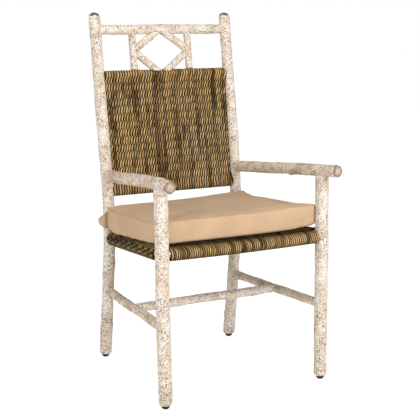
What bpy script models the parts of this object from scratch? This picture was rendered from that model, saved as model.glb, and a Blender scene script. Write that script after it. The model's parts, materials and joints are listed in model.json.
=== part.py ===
"""Rustic pole armchair with a woven back and seat and a tied box cushion.

Lengths are metres, +Z is up and the chair faces -Y. Left is the -X side, as seen from the front.
Depths are measured backwards from the front feet, and the empty that carries every piece then
centres the chair over its own footprint.
"""
import math
import random

import bmesh
import bpy
from mathutils import Vector

# Front posts and arms
FRONT_FOOT_SPACING = 0.516
FRONT_SPLAY = 0.003
FRONT_LEAN = 0.008
FRONT_POST_RADIUS = 0.0195
ARM_RADIUS = 0.0178
ARM_FRONT_RISE = 0.192
ARM_REAR_RISE = 0.192
ARM_OVERHANG = 0.064
ARM_DOME = 0.008
SADDLE_SHARE = 0.75

# Rear posts: a lower and an upper run that meet in a soft bend behind the seat
SEAT_TAPER = 0.062
REAR_SPACING = FRONT_FOOT_SPACING - SEAT_TAPER
REAR_FOOT_DEPTH = 0.510
BEND_DEPTH = 0.453
REAR_TOP_DEPTH = 0.537
BEND_HEIGHT = 0.449
BEND_LENGTH = 0.060
REAR_POST_RADIUS = 0.0189
REAR_POST_TOP_RADIUS = 0.0174
POST_DOME = 0.016
DOME_ANGLES = (28, 52, 72)
POST_ABOVE_CREST = 0.053

# Foot ends and glides
FOOT_BEVEL = 0.016
FOOT_SHRINK = 0.8
GLIDE_RADIUS = 0.012
GLIDE_HEIGHT = 0.007
GLIDE_EDGE = 0.0022
GLIDE_FACETS = 14
NAIL_RADIUS = 0.0016
NAIL_LENGTH = 0.016

# Back: rods, lattice and crest rail, stacked upwards from the seat
BACK_GAP = 0.1435
BACK_HEIGHT = 0.3505
LATTICE_HEIGHT = 0.141
BACK_ROD_RADIUS = 0.0105
BACK_PLANE = 0.0055
BACK_SET = 0.034
CREST_RADIUS = 0.0152
CREST_END_RADIUS = 0.0142
SPINDLE_RADIUS = 0.0113
STICK_RADIUS = 0.0110
SPINDLE_SPACING = 0.192
LATTICE_SHIFT = -0.0105
LATTICE_MIDDLE = 0.066

# Seat frame and stretchers
SEAT_FRONT_HEIGHT = 0.440
SEAT_DROP = 0.038
SEAT_REAR_HEIGHT = SEAT_FRONT_HEIGHT - SEAT_DROP
SEAT_ROD_RADIUS = 0.0165
STRETCHER_FRONT_HEIGHT = 0.231
STRETCHER_REAR_HEIGHT = 0.227
STRETCHER_RADIUS = 0.0133
CROSS_SHARE = 0.5

# Joints: each pole end is coped round its host, with a stub tenon in a bored mortise
CLEARANCE = 0.0003
TENON_RADIUS = 0.008
LIGHT_TENON_RADIUS = 0.0055
TENON_WALL = 0.002
TENON_ROOT = 0.012
COPE_SHARE = 0.55
WHITTLE_SHARE = 0.66
WHITTLE_SLOPE = 0.012

# Natural growth of the poles
SWAY = 0.0013
SWELL = 0.02
STATION_SPACING = 0.07
POLE_ROUNDNESS = 4
ROD_FACETS = 12
WELD = 1e-6

# Weave: pairs of strands cross between the stakes, so the sheet swells into a rib over each stake
RIB_THICKNESS = 0.0074
BETWEEN_SHARE = 0.42
BACK_ROLL_SHARE = 0.75
SEAT_ROLL_SHARE = 0.68
SIDE_RIB = 0.0016
COLUMN_PITCH = 0.1
STAKE_PITCH = 0.0234
WEAVE_MARGIN = 0.0022
BACK_WRAP = math.radians(215)
SEAT_WRAP = math.radians(240)
WRAP_STEPS = 6

# Cushion and its ties
CUSHION_FRONT = 0.010
CUSHION_POST_GAP = 0.001
CUSHION_SHOULDER = 0.026
CUSHION_REAR_OVERHANG = 0.036
CUSHION_FRONT_THICKNESS = 0.070
CUSHION_REAR_THICKNESS = 0.073
CUSHION_CROWN = 0.012
CUSHION_SAG = 0.008
CUSHION_POUT = 0.012
CUSHION_TILT = 0.003
CUSHION_DRAW = 0.003
CUSHION_BULGE = 0.001
CUSHION_CELLS = 6
SEAM_CREASE = 0.285
TIE_HEIGHT = 0.052
TIE_THICKNESS = 0.0022
TIE_SLACK = 0.0010
TIE_LIFT = 0.010
TIE_LOOP = 0.010
TIE_FOLD = 3
TIE_DROOP = 0.014
TIE_POINTS = 24

SIDES = (("left", -1), ("right", 1))
ACROSS, ALONG, UP = Vector((1, 0, 0)), Vector((0, 1, 0)), Vector((0, 0, 1))

for item in list(bpy.data.objects):
    bpy.data.objects.remove(item, do_unlink=True)

chair = bpy.data.collections.new("rustic_armchair")
cutters = bpy.data.collections.new("cutters")
bpy.context.scene.collection.children.link(chair)
bpy.context.scene.collection.children.link(cutters)
carrier = bpy.data.objects.new("chair_centre", None)
chair.objects.link(carrier)


def finish(name, color, roughness):
    """Return a plain Principled material."""
    material = bpy.data.materials.new(name)
    material.use_nodes = True
    shader = material.node_tree.nodes["Principled BSDF"]
    shader.inputs["Base Color"].default_value = (*color, 1.0)
    shader.inputs["Roughness"].default_value = roughness
    shader.inputs["Metallic"].default_value = 0.0
    return material


BARK = finish("pale_bark", (0.72, 0.63, 0.52), 0.75)
RATTAN = finish("rattan", (0.22, 0.13, 0.055), 0.6)
FABRIC = finish("tan_fabric", (0.60, 0.41, 0.24), 0.9)
PLASTIC = finish("black_plastic", (0.015, 0.015, 0.015), 0.5)


def add_part(name, mesh, material):
    """Make a piece of the chair from its mesh."""
    mesh.materials.append(material)
    mesh.shade_smooth()
    mesh.set_sharp_from_angle(angle=math.radians(40))
    part = bpy.data.objects.new(name, mesh)
    chair.objects.link(part)
    part.parent = carrier
    return part


def add_cutter(name, mesh):
    """Make a hidden body that only cuts or joins pieces."""
    cutter = bpy.data.objects.new(name, mesh)
    cutters.objects.link(cutter)
    cutter.parent = carrier
    cutter.hide_render = True
    cutter.display_type = "WIRE"
    return cutter


def combine(part, tool, operation):
    """Add a Boolean of the part with a hidden body."""
    modifier = part.modifiers.new(f"{operation.lower()}_{tool.name}", "BOOLEAN")
    modifier.operation = operation
    modifier.object = tool
    modifier.solver = "EXACT"


def mesh_from(builder, name):
    """Turn a bmesh into a mesh and free it."""
    mesh = bpy.data.meshes.new(name)
    builder.to_mesh(mesh)
    builder.free()
    return mesh


def tube_mesh(name, stations):
    """Sweep a round section along (place, radius) stations and close its ends."""
    curve = bpy.data.curves.new(name, "CURVE")
    curve.dimensions = "3D"
    curve.bevel_depth = 1.0
    curve.bevel_resolution = POLE_ROUNDNESS
    curve.use_fill_caps = True
    spline = curve.splines.new("POLY")
    spline.points.add(len(stations) - 1)
    for point, (place, radius) in zip(spline.points, stations):
        point.co = (*place, 1.0)
        point.radius = radius
    holder = bpy.data.objects.new(f"{name}_curve", curve)
    cutters.objects.link(holder)
    graph = bpy.context.evaluated_depsgraph_get()
    mesh = bpy.data.meshes.new_from_object(holder.evaluated_get(graph))
    mesh.name = name
    mesh.materials.clear()
    bpy.data.objects.remove(holder, do_unlink=True)
    builder = bmesh.new()
    builder.from_mesh(mesh)
    bmesh.ops.remove_doubles(builder, verts=builder.verts, dist=WELD)
    builder.to_mesh(mesh)
    builder.free()
    return mesh


def rod_mesh(name, start, end, radius):
    """Return a straight cylinder between two places."""
    span = end - start
    builder = bmesh.new()
    turn = span.to_track_quat("Z", "Y").to_matrix().to_4x4()
    turn.translation = (start + end) / 2
    bmesh.ops.create_cone(builder, cap_ends=True, segments=ROD_FACETS, radius1=radius, radius2=radius,
                          depth=span.length, matrix=turn)
    return mesh_from(builder, name)


def slice_mesh(mesh, place, outward):
    """Cut away what lies outside a plane and close the cut."""
    builder = bmesh.new()
    builder.from_mesh(mesh)
    everything = builder.verts[:] + builder.edges[:] + builder.faces[:]
    bmesh.ops.bisect_plane(builder, geom=everything, plane_co=place, plane_no=outward, clear_outer=True)
    rim = [edge for edge in builder.edges if edge.is_boundary]
    bmesh.ops.holes_fill(builder, edges=rim, sides=0)
    builder.to_mesh(mesh)
    builder.free()


class Pole:
    """A round pole whose axis sways and whose girth swells a little, as it grew."""

    def __init__(self, name, start, end, radius, end_radius=None, route=None, side=1, sways=(), sway=SWAY):
        self.name = name
        self.start = start
        self.end = end
        self.girth = (radius, end_radius or radius)
        self.route = route or (lambda share: start.lerp(end, share))
        self.length = (end - start).length
        grown = random.Random(name.replace("left", "side").replace("right", "side"))
        self.waves = [(direction, grown.uniform(1.2, 2.2), grown.random()) for direction in sways]
        self.swell = (grown.uniform(2.0, 3.5), grown.random()) if sways else None
        self.side = side
        self.sway = sway
        self.part = None
        self.cope = None

    def axis(self, share):
        """Return the axis point at a share of the length."""
        place = self.route(share).copy()
        for direction, count, phase in self.waves:
            amount = self.sway * math.sin(math.pi * share) * math.sin(math.tau * (count * share + phase))
            place += direction * amount * (self.side if direction == ACROSS else 1)
        return place

    def radius(self, share):
        """Return the pole's radius at a share of the length."""
        radius = self.girth[0] + (self.girth[1] - self.girth[0]) * share
        if self.swell:
            radius *= 1 + SWELL * math.sin(math.tau * (self.swell[0] * share + self.swell[1]))
        return radius

    def share_at_height(self, height):
        return (height - self.start.z) / (self.end.z - self.start.z)

    def at_height(self, height):
        return self.axis(self.share_at_height(height))

    def stations(self, first, last):
        """Return (place, radius) stations between two shares of the length."""
        count = max(2, round(self.length * (last - first) / STATION_SPACING))
        shares = [first + (last - first) * step / count for step in range(count + 1)]
        return [(self.axis(share), self.radius(share)) for share in shares]

    def build(self, stations):
        """Make the pole's solid, and a slightly larger copy that copes the poles which meet it."""
        self.part = add_part(self.name, tube_mesh(self.name, stations), BARK)
        around = [(place, radius + CLEARANCE) for place, radius in stations]
        self.cope = add_cutter(f"{self.name}_cope", tube_mesh(f"{self.name}_cope", around))


def dome(tip, direction, radius, height):
    """Return the stations of a whittled, rounded pole end that starts at tip."""
    angles = [math.radians(angle) for angle in DOME_ANGLES]
    return [(tip + direction * height * math.sin(angle), radius * math.cos(angle)) for angle in angles]


def seat_tenon(rail, at_start, host, host_share, tenon_radius):
    """Cope one end of a rail round its host and seat its tenon in a bored mortise."""
    label = f"{rail.name}_in_{host.name}"
    centre = host.axis(host_share)
    along = (rail.end - rail.start).normalized() * (1 if at_start else -1)
    stop = tenon_radius + TENON_WALL if host.girth[0] > 2 * tenon_radius else TENON_WALL
    face = host.radius(host_share)
    root = centre + along * (face + TENON_ROOT)
    tenon = rod_mesh(f"{label}_tenon", centre + along * stop, root, tenon_radius)
    mortise = rod_mesh(f"{label}_mortise", centre + along * (stop - CLEARANCE), root,
                       tenon_radius + CLEARANCE)
    combine(rail.part, host.cope, "DIFFERENCE")
    combine(rail.part, add_cutter(f"{label}_tenon", tenon), "UNION")
    mortise_cutter = add_cutter(f"{label}_mortise", mortise)
    combine(host.part, mortise_cutter, "DIFFERENCE")
    return mortise_cutter


def whittled(rail, first, last, start_face, end_face):
    """Return the stations of a rod whose ends are thinned, so that two rods can meet in one post."""
    full = rail.girth[0]
    near, far = min(full, WHITTLE_SHARE * start_face), min(full, WHITTLE_SHARE * end_face)
    steps = [
        (first, near),
        (start_face / rail.length, near),
        ((start_face + WHITTLE_SLOPE) / rail.length, full),
        (1 - (end_face + WHITTLE_SLOPE) / rail.length, full),
        (1 - end_face / rail.length, far),
        (last, far),
    ]
    return [(rail.axis(share), radius) for share, radius in steps]


def build_rail(rail, start_host, start_share, end_host, end_share, tenon_radius=TENON_RADIUS):
    """Make a pole that is tenoned into a host at each end; a rod that doesn't sway has whittled ends."""
    start_face, end_face = start_host.radius(start_share), end_host.radius(end_share)
    first = COPE_SHARE * start_face / rail.length
    last = 1 - COPE_SHARE * end_face / rail.length
    if rail.waves:
        rail.build(rail.stations(first, last))
    else:
        rail.build(whittled(rail, first, last, start_face, end_face))
    near = seat_tenon(rail, True, start_host, start_share, tenon_radius)
    far = seat_tenon(rail, False, end_host, end_share, tenon_radius)
    return near, far


# Rear posts
BACK_BOTTOM = SEAT_REAR_HEIGHT + BACK_GAP
BACK_TOP = BACK_BOTTOM + BACK_HEIGHT
CREST = BACK_TOP + LATTICE_HEIGHT
HEIGHT = CREST + POST_ABOVE_CREST


def rear_route(side):
    """Return the rear post's axis as a function of the share of its height."""
    def reach(height):
        return math.hypot(height - BEND_HEIGHT, BEND_LENGTH) - BEND_LENGTH

    def route(share):
        height = HEIGHT * share
        below = height < BEND_HEIGHT
        outer_depth, outer_height = (REAR_FOOT_DEPTH, 0.0) if below else (REAR_TOP_DEPTH, HEIGHT)
        lean = (outer_depth - BEND_DEPTH) / reach(outer_height)
        return Vector((side * REAR_SPACING / 2, BEND_DEPTH + lean * reach(height), height))
    return route


def build_post(post, stations):
    """Make a post, with its foot bevelled and cut level above its glide."""
    foot_share = (GLIDE_HEIGHT + FOOT_BEVEL) / post.length
    foot = [
        (post.axis(0.0), post.radius(0.0) * FOOT_SHRINK),
        (post.axis(foot_share), post.radius(foot_share)),
    ]
    post.build(foot + stations)
    slice_mesh(post.part.data, Vector((0, 0, GLIDE_HEIGHT + CLEARANCE)), -UP)


rear_posts = {}
for label, side in SIDES:
    route = rear_route(side)
    post = Pole(f"rear_post_{label}", route(0.0), route(1.0), REAR_POST_RADIUS, REAR_POST_TOP_RADIUS,
                route=route, side=side, sways=(ACROSS, ALONG))
    shoulder = 1 - POST_DOME / HEIGHT
    lean = (post.axis(1.0) - post.axis(shoulder)).normalized()
    top = dome(post.axis(shoulder), lean, post.radius(shoulder), POST_DOME)
    build_post(post, post.stations(STATION_SPACING / HEIGHT, shoulder) + top)
    rear_posts[label] = post

# Arms, then the front posts that carry them
arms = {}
front_posts = {}
for label, side in SIDES:
    rear_share = rear_posts[label].share_at_height(SEAT_REAR_HEIGHT + ARM_REAR_RISE)
    rear_end = rear_posts[label].axis(rear_share)
    over_post = Vector((side * (FRONT_FOOT_SPACING / 2 + FRONT_SPLAY), FRONT_LEAN,
                        SEAT_FRONT_HEIGHT + ARM_FRONT_RISE))
    forward = (over_post - rear_end).normalized()
    arm = Pole(f"arm_{label}", over_post + forward * (ARM_OVERHANG - ARM_DOME), rear_end, ARM_RADIUS,
               side=side, sways=(ACROSS, UP))
    last = 1 - COPE_SHARE * rear_posts[label].radius(rear_share) / arm.length
    front = dome(arm.axis(0.0), forward, arm.radius(0.0), ARM_DOME)
    arm.build(front[::-1] + arm.stations(0.0, last))
    seat_tenon(arm, False, rear_posts[label], rear_share, TENON_RADIUS)
    arms[label] = arm

    arm_share = (ARM_OVERHANG - ARM_DOME) / arm.length
    foot = Vector((side * FRONT_FOOT_SPACING / 2, 0.0, 0.0))
    post = Pole(f"front_post_{label}", foot, arm.axis(arm_share), FRONT_POST_RADIUS, side=side,
                sways=(ACROSS, ALONG))
    saddle = 1 - SADDLE_SHARE * arm.radius(arm_share) / post.length
    build_post(post, post.stations(STATION_SPACING / post.length, saddle))
    seat_tenon(post, False, arm, arm_share, TENON_RADIUS)
    front_posts[label] = post


# Crest rail and the two rods that carry the back weave
def between_rear_posts(name, height, radius, end_radius=None, sways=()):
    """Make a level pole between the rear posts."""
    left, right = rear_posts["left"], rear_posts["right"]
    share = left.share_at_height(height)
    rail = Pole(name, left.axis(share), right.axis(share), radius, end_radius, sways=sways)
    build_rail(rail, left, share, right, share)
    return rail


crest_rail = between_rear_posts("crest_rail", CREST, CREST_RADIUS, CREST_END_RADIUS, sways=(ALONG, UP))
back_top_rod = between_rear_posts("back_top_rod", BACK_TOP, BACK_ROD_RADIUS)
back_bottom_rod = between_rear_posts("back_bottom_rod", BACK_BOTTOM, BACK_ROD_RADIUS)


# Seat rods and stretchers
def between_front_and_rear(name, label, side, front_height, rear_height, radius, sways=()):
    """Make a pole from a front post to the rear post behind it."""
    front_share = front_posts[label].share_at_height(front_height)
    rear_share = rear_posts[label].share_at_height(rear_height)
    rail = Pole(name, front_posts[label].axis(front_share), rear_posts[label].axis(rear_share), radius,
                side=side, sways=sways)
    build_rail(rail, front_posts[label], front_share, rear_posts[label], rear_share)
    return rail


def across_seat(name, posts, height):
    """Make a seat rod between two posts."""
    share = posts["left"].share_at_height(height)
    rod = Pole(name, posts["left"].axis(share), posts["right"].axis(share), SEAT_ROD_RADIUS)
    build_rail(rod, posts["left"], share, posts["right"], share)
    return rod


seat_front_rod = across_seat("seat_front_rod", front_posts, SEAT_FRONT_HEIGHT)
seat_rear_rod = across_seat("seat_rear_rod", rear_posts, SEAT_REAR_HEIGHT)
side_stretchers = {}
for label, side in SIDES:
    between_front_and_rear(f"seat_{label}_rod", label, side, SEAT_FRONT_HEIGHT, SEAT_REAR_HEIGHT,
                           SEAT_ROD_RADIUS)
    side_stretchers[label] = between_front_and_rear(
        f"side_stretcher_{label}", label, side, STRETCHER_FRONT_HEIGHT, STRETCHER_REAR_HEIGHT,
        STRETCHER_RADIUS, sways=(ACROSS, UP))

cross_stretcher = Pole("cross_stretcher", side_stretchers["left"].axis(CROSS_SHARE),
                       side_stretchers["right"].axis(CROSS_SHARE), STRETCHER_RADIUS, sways=(ALONG, UP))
build_rail(cross_stretcher, side_stretchers["left"], CROSS_SHARE, side_stretchers["right"], CROSS_SHARE,
           LIGHT_TENON_RADIUS)

# Woven back: a ribbed sheet, set back between the posts and turned round both rods
wrap_step = BACK_WRAP / WRAP_STEPS
back_roll_half = BACK_ROLL_SHARE * RIB_THICKNESS / 2
back_roll = (BACK_ROD_RADIUS + CLEARANCE) / math.cos(wrap_step / 2) + back_roll_half
back_face = back_roll + back_roll_half


def rib_share(line):
    """Return the share of a rib's thickness at a line of the sheet; every other line lies on a stake."""
    return 1.0 if line % 2 else BETWEEN_SHARE


def woven_sheet(name, columns, rows, place, fullness, is_open=None):
    """Shape a grid by place(column, row), drop its open cells and thicken it by fullness(column, row)."""
    builder = bmesh.new()
    bmesh.ops.create_grid(builder, x_segments=columns, y_segments=rows, size=1.0)
    weights = builder.verts.layers.deform.verify()

    def cell(point):
        return (point.x + 1) / 2 * columns, (point.y + 1) / 2 * rows

    if is_open:
        gone = [face for face in builder.faces if is_open(*cell(face.calc_center_median()))]
        bmesh.ops.delete(builder, geom=gone, context="FACES")
    for vert in builder.verts:
        column, row = (round(value) for value in cell(vert.co))
        vert[weights][0] = fullness(column, row)
        vert.co = place(column, row)
    bmesh.ops.recalc_face_normals(builder, faces=builder.faces)
    sheet = add_part(name, mesh_from(builder, name), RATTAN)
    group = sheet.vertex_groups.new(name="fullness")
    thickness = sheet.modifiers.new("thickness", "SOLIDIFY")
    thickness.thickness = RIB_THICKNESS
    thickness.vertex_group = group.name
    thickness.offset = 0.0
    thickness.use_even_offset = True
    return sheet


back_rows = 2 * round(BACK_HEIGHT / STAKE_PITCH)
back_columns = round((REAR_SPACING - 2 * REAR_POST_RADIUS) / COLUMN_PITCH)
rod_top, rod_bottom = back_top_rod.axis(0.5), back_bottom_rod.axis(0.5)
panel_up = (rod_top - rod_bottom).normalized()
panel_front = ACROSS.cross(panel_up).normalized()
if panel_front.y > 0:
    panel_front.negate()


def back_set(row):
    """Return how far the back has left its rolls at a row: 0 on a roll and 1 on the plane between them."""
    line = row - WRAP_STEPS
    from_rod = min(line, back_rows - line) / back_rows * (rod_top - rod_bottom).length
    return min(max(from_rod / BACK_SET, 0.0), 1.0)


def back_fullness(column, row):
    """Return the share of a rib's thickness at a row of the back weave, the same at every column."""
    return BACK_ROLL_SHARE + (rib_share(row - WRAP_STEPS) - BACK_ROLL_SHARE) * back_set(row)


def back_place(column, row):
    """Place a point of the back weave; rows run from behind the bottom rod to behind the top rod."""
    if row < WRAP_STEPS:
        turn = -wrap_step * (WRAP_STEPS - row)
        hub = rod_bottom
    elif row > WRAP_STEPS + back_rows:
        turn = wrap_step * (row - WRAP_STEPS - back_rows)
        hub = rod_top
    else:
        turn = 0.0
        hub = rod_bottom.lerp(rod_top, (row - WRAP_STEPS) / back_rows)
    out = panel_front * math.cos(turn) + panel_up * math.sin(turn)
    place = hub + out * (back_roll + (BACK_PLANE - back_roll) * back_set(row))
    edges = []
    for label, side in SIDES:
        post = rear_posts[label]
        share = post.share_at_height(place.z)
        edges.append(post.axis(share).x - side * (post.radius(share) + WEAVE_MARGIN))
    place.x = edges[0] + (edges[1] - edges[0]) * column / back_columns
    return place


back_weave = woven_sheet("back_weave", back_columns, back_rows + 2 * WRAP_STEPS, back_place, back_fullness)

# Spindles and the diamond lattice between crest rail and woven back
roll_mesh = rod_mesh("back_roll_cope", rear_posts["left"].at_height(BACK_TOP),
                     rear_posts["right"].at_height(BACK_TOP),
                     (back_face + CLEARANCE) / math.cos(math.pi / ROD_FACETS))
roll_cope = add_cutter("back_roll_cope", roll_mesh)
lattice_centre = (crest_rail.axis(0.5) + back_top_rod.axis(0.5)) / 2
spindles = {}
for label, side in SIDES:
    offset = LATTICE_SHIFT + side * SPINDLE_SPACING / 2
    share = 0.5 + offset / crest_rail.length
    rod_share = 0.5 + offset / back_top_rod.length
    foot, head = back_top_rod.axis(rod_share), crest_rail.axis(share)
    spindle = Pole(f"spindle_{label}", foot, head, SPINDLE_RADIUS, side=side, sways=(ALONG,), sway=SWAY / 2)
    first = COPE_SHARE * back_face / spindle.length
    last = 1 - COPE_SHARE * crest_rail.radius(share) / spindle.length
    spindle.build(spindle.stations(first, last))
    combine(spindle.part, roll_cope, "DIFFERENCE")
    through = seat_tenon(spindle, True, back_top_rod, rod_share, LIGHT_TENON_RADIUS)
    combine(back_weave, through, "DIFFERENCE")
    seat_tenon(spindle, False, crest_rail, share, LIGHT_TENON_RADIUS)
    spindles[label] = spindle

middle_height = CREST - LATTICE_MIDDLE
centre_x = lattice_centre.x + LATTICE_SHIFT
for level, target, tool in (("upper", crest_rail, crest_rail.cope), ("lower", back_top_rod, roll_cope)):
    for label, side in SIDES:
        name = f"lattice_{level}_{label}"
        start = spindles[label].at_height(middle_height)
        end = target.axis(0.5 + LATTICE_SHIFT / target.length)
        stick = Pole(name, start, end, STICK_RADIUS)
        first = COPE_SHARE * SPINDLE_RADIUS / stick.length
        last = 1 - COPE_SHARE * target.radius(0.5) / stick.length
        stick.build(stick.stations(first, last))
        away = UP if level == "lower" else -UP
        slice_mesh(stick.part.data, start - away * CLEARANCE / 2, away)
        slice_mesh(stick.part.data, Vector((centre_x + side * CLEARANCE / 2, 0, 0)), ACROSS * -side)
        combine(stick.part, spindles[label].cope, "DIFFERENCE")
        combine(stick.part, tool, "DIFFERENCE")

# Woven seat: one cross-shaped sheet whose four flaps turn under the seat rods
seat_step = SEAT_WRAP / WRAP_STEPS
seat_roll_half = SEAT_ROLL_SHARE * RIB_THICKNESS / 2
seat_roll = (SEAT_ROD_RADIUS + CLEARANCE) / math.cos(seat_step / 2) + seat_roll_half
seat_face = seat_roll + RIB_THICKNESS / 2
side_face = seat_roll + seat_roll_half + SIDE_RIB
corners = {
    "front": (seat_front_rod.start, seat_front_rod.end),
    "rear": (seat_rear_rod.start, seat_rear_rod.end),
}
seat_length = (corners["rear"][0] - corners["front"][0]).length
notch = max(FRONT_POST_RADIUS * (1 + SWELL), REAR_POST_RADIUS * (1 + SWELL), side_face) + WEAVE_MARGIN
core_columns = round((FRONT_FOOT_SPACING - 2 * notch) / COLUMN_PITCH)
core_rows = 2 * round((seat_length - 2 * notch) / STAKE_PITCH)
seat_columns = core_columns + 2 + 2 * WRAP_STEPS
seat_rows = core_rows + 2 + 2 * WRAP_STEPS
seat_slope = corners["rear"][0] - corners["front"][0]
seat_up = Vector((0, -seat_slope.z, seat_slope.y)).normalized()


def along_edge(index, core, notch_share):
    """Return the share of the seat's side at a grid line and the turn of the flap there."""
    line = min(max(index - WRAP_STEPS, 0), core + 2)
    flap = index - WRAP_STEPS - line
    if line in (0, core + 2):
        share = 0.0 if line == 0 else 1.0
    else:
        share = notch_share + (1 - 2 * notch_share) * (line - 1) / core
    return share, flap * seat_step


def seat_rib(row):
    """Return the share of a rib's thickness at a row of the seat's core."""
    return rib_share(row - WRAP_STEPS - 1)


def seat_fullness(column, row):
    """Return the share of a rib's thickness at a point of the seat, which is even on the four rolls."""
    in_columns = WRAP_STEPS < column < seat_columns - WRAP_STEPS
    in_rows = WRAP_STEPS < row < seat_rows - WRAP_STEPS
    return seat_rib(row) if in_columns and in_rows else SEAT_ROLL_SHARE


def seat_place(column, row):
    """Place a point of the seat weave, on the flat or on one of its four rolled edges."""
    back_share, back_turn = along_edge(row, core_rows, notch / seat_length)
    left = corners["front"][0].lerp(corners["rear"][0], back_share)
    right = corners["front"][1].lerp(corners["rear"][1], back_share)
    side_share, side_turn = along_edge(column, core_columns, notch / (right - left).length)
    hub = left.lerp(right, side_share)
    if side_turn:
        edge = seat_slope if side_turn < 0 else corners["rear"][1] - corners["front"][1]
        outward = edge.cross(seat_up).normalized()
        out = seat_up * math.cos(side_turn) + outward * math.sin(side_turn)
        if seat_rib(row) == 1.0:
            out *= 1 + SIDE_RIB / seat_roll
    else:
        out = seat_up * math.cos(back_turn) + seat_slope.normalized() * math.sin(back_turn)
        out.x = 0.0
        out.normalize()
    return hub + out * seat_roll


def is_corner(column, row):
    """Tell whether a cell lies where a post passes through the seat's corner."""
    beside = column < WRAP_STEPS + 1 or column > seat_columns - WRAP_STEPS - 1
    beyond = row < WRAP_STEPS + 1 or row > seat_rows - WRAP_STEPS - 1
    return beside and beyond


seat_weave = woven_sheet("seat_weave", seat_columns, seat_rows, seat_place, seat_fullness, is_corner)

# Cushion: a boxed pad with a crown, shoulders behind the front posts and rear corners that stand up
rear_front_face = min(
    rear_posts["left"].at_height(height).y - REAR_POST_RADIUS * (1 + SWELL)
    for height in (SEAT_REAR_HEIGHT, SEAT_REAR_HEIGHT + CUSHION_REAR_THICKNESS))
cushion_rear = rear_front_face - TIE_SLACK - TIE_THICKNESS - CLEARANCE
front_half = seat_front_rod.end.x - FRONT_POST_RADIUS * (1 + SWELL) - CUSHION_POST_GAP
shoulder_half = front_half + CUSHION_SHOULDER
rear_half = (REAR_SPACING + CUSHION_REAR_OVERHANG) / 2


def cushion_place(across, back, up):
    """Map a point of the unit cage (-1 to 1 each way) onto the cushion."""
    share = (back + 1) / 2
    is_front = share < 0.5 / CUSHION_CELLS
    half = front_half if is_front else shoulder_half + (rear_half - shoulder_half) * share
    half += CUSHION_BULGE * (1 - up * up) - CUSHION_DRAW * (1 - back * back)
    depth = CUSHION_FRONT + (cushion_rear - CUSHION_FRONT) * share
    depth -= CUSHION_DRAW * (1 - across * across) * back * abs(back)
    seat_share = (depth - corners["front"][0].y) / seat_slope.y
    floor = corners["front"][0].lerp(corners["rear"][0], seat_share) + seat_up * (seat_face + CLEARANCE)
    thickness = CUSHION_FRONT_THICKNESS + (CUSHION_REAR_THICKNESS - CUSHION_FRONT_THICKNESS) * share
    height = (up + 1) / 2 * thickness
    if up > 0:
        height += (CUSHION_CROWN * (1 - across * across) - CUSHION_SAG * across ** 4) * (1 - back * back)
        height += (CUSHION_POUT + CUSHION_TILT * across) * across ** 2 * share ** 2
    return Vector((across * half, depth, floor.z + height))


def subdivide_along(builder, direction, cuts):
    """Cut every edge of the cage that runs along one direction."""
    chosen = [edge for edge in builder.edges
              if abs((edge.verts[0].co - edge.verts[1].co).normalized().dot(direction)) > 0.9]
    bmesh.ops.subdivide_edges(builder, edges=chosen, cuts=cuts, use_grid_fill=True)


cage = bmesh.new()
bmesh.ops.create_cube(cage, size=2.0)
subdivide_along(cage, ACROSS, CUSHION_CELLS - 1)
subdivide_along(cage, ALONG, CUSHION_CELLS - 1)
subdivide_along(cage, UP, 1)
crease = cage.edges.layers.float.new("crease_edge")
for edge in cage.edges:
    if edge.calc_face_angle() > math.radians(45):
        edge[crease] = SEAM_CREASE
for vert in cage.verts:
    vert.co = cushion_place(*vert.co)
cushion = add_part("cushion", mesh_from(cage, "cushion"), FABRIC)
softness = cushion.modifiers.new("softness", "SUBSURF")
softness.levels = 1
softness.render_levels = 1

# Ties: a loose fabric loop round each rear post, behind the cushion
tie_base = corners["rear"][0].z + seat_face + TIE_LIFT


def tie_ring(post, side):
    """Return the points of a tie's lower edge."""
    centre = post.at_height(tie_base + TIE_HEIGHT / 2)
    ring = []
    for step in range(TIE_POINTS):
        angle = math.tau * step / TIE_POINTS
        outward = max(0.0, math.cos(angle)) ** TIE_FOLD
        radius = post.girth[0] * (1 + SWELL) + TIE_SLACK + TIE_LOOP * outward
        across = centre.x + side * radius * math.cos(angle)
        depth = centre.y + radius * math.sin(angle)
        ring.append(Vector((across, depth, tie_base - TIE_DROOP * outward)))
    return ring


for label, side in SIDES:
    name = f"cushion_tie_{label}"
    builder = bmesh.new()
    hoop = bmesh.ops.create_circle(builder, segments=TIE_POINTS, radius=1.0)["verts"]
    hoop.sort(key=lambda vert: math.atan2(vert.co.y, vert.co.x) % math.tau)
    for vert, place in zip(hoop, tie_ring(rear_posts[label], side)):
        vert.co = place
    raised = bmesh.ops.extrude_edge_only(builder, edges=builder.edges[:])["geom"]
    for vert in raised:
        if isinstance(vert, bmesh.types.BMVert):
            vert.co.z += TIE_HEIGHT
    bmesh.ops.recalc_face_normals(builder, faces=builder.faces)
    tie = add_part(name, mesh_from(builder, name), FABRIC)
    band = tie.modifiers.new("band", "SOLIDIFY")
    band.thickness = TIE_THICKNESS
    band.offset = 1.0
    band.use_even_offset = True

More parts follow.
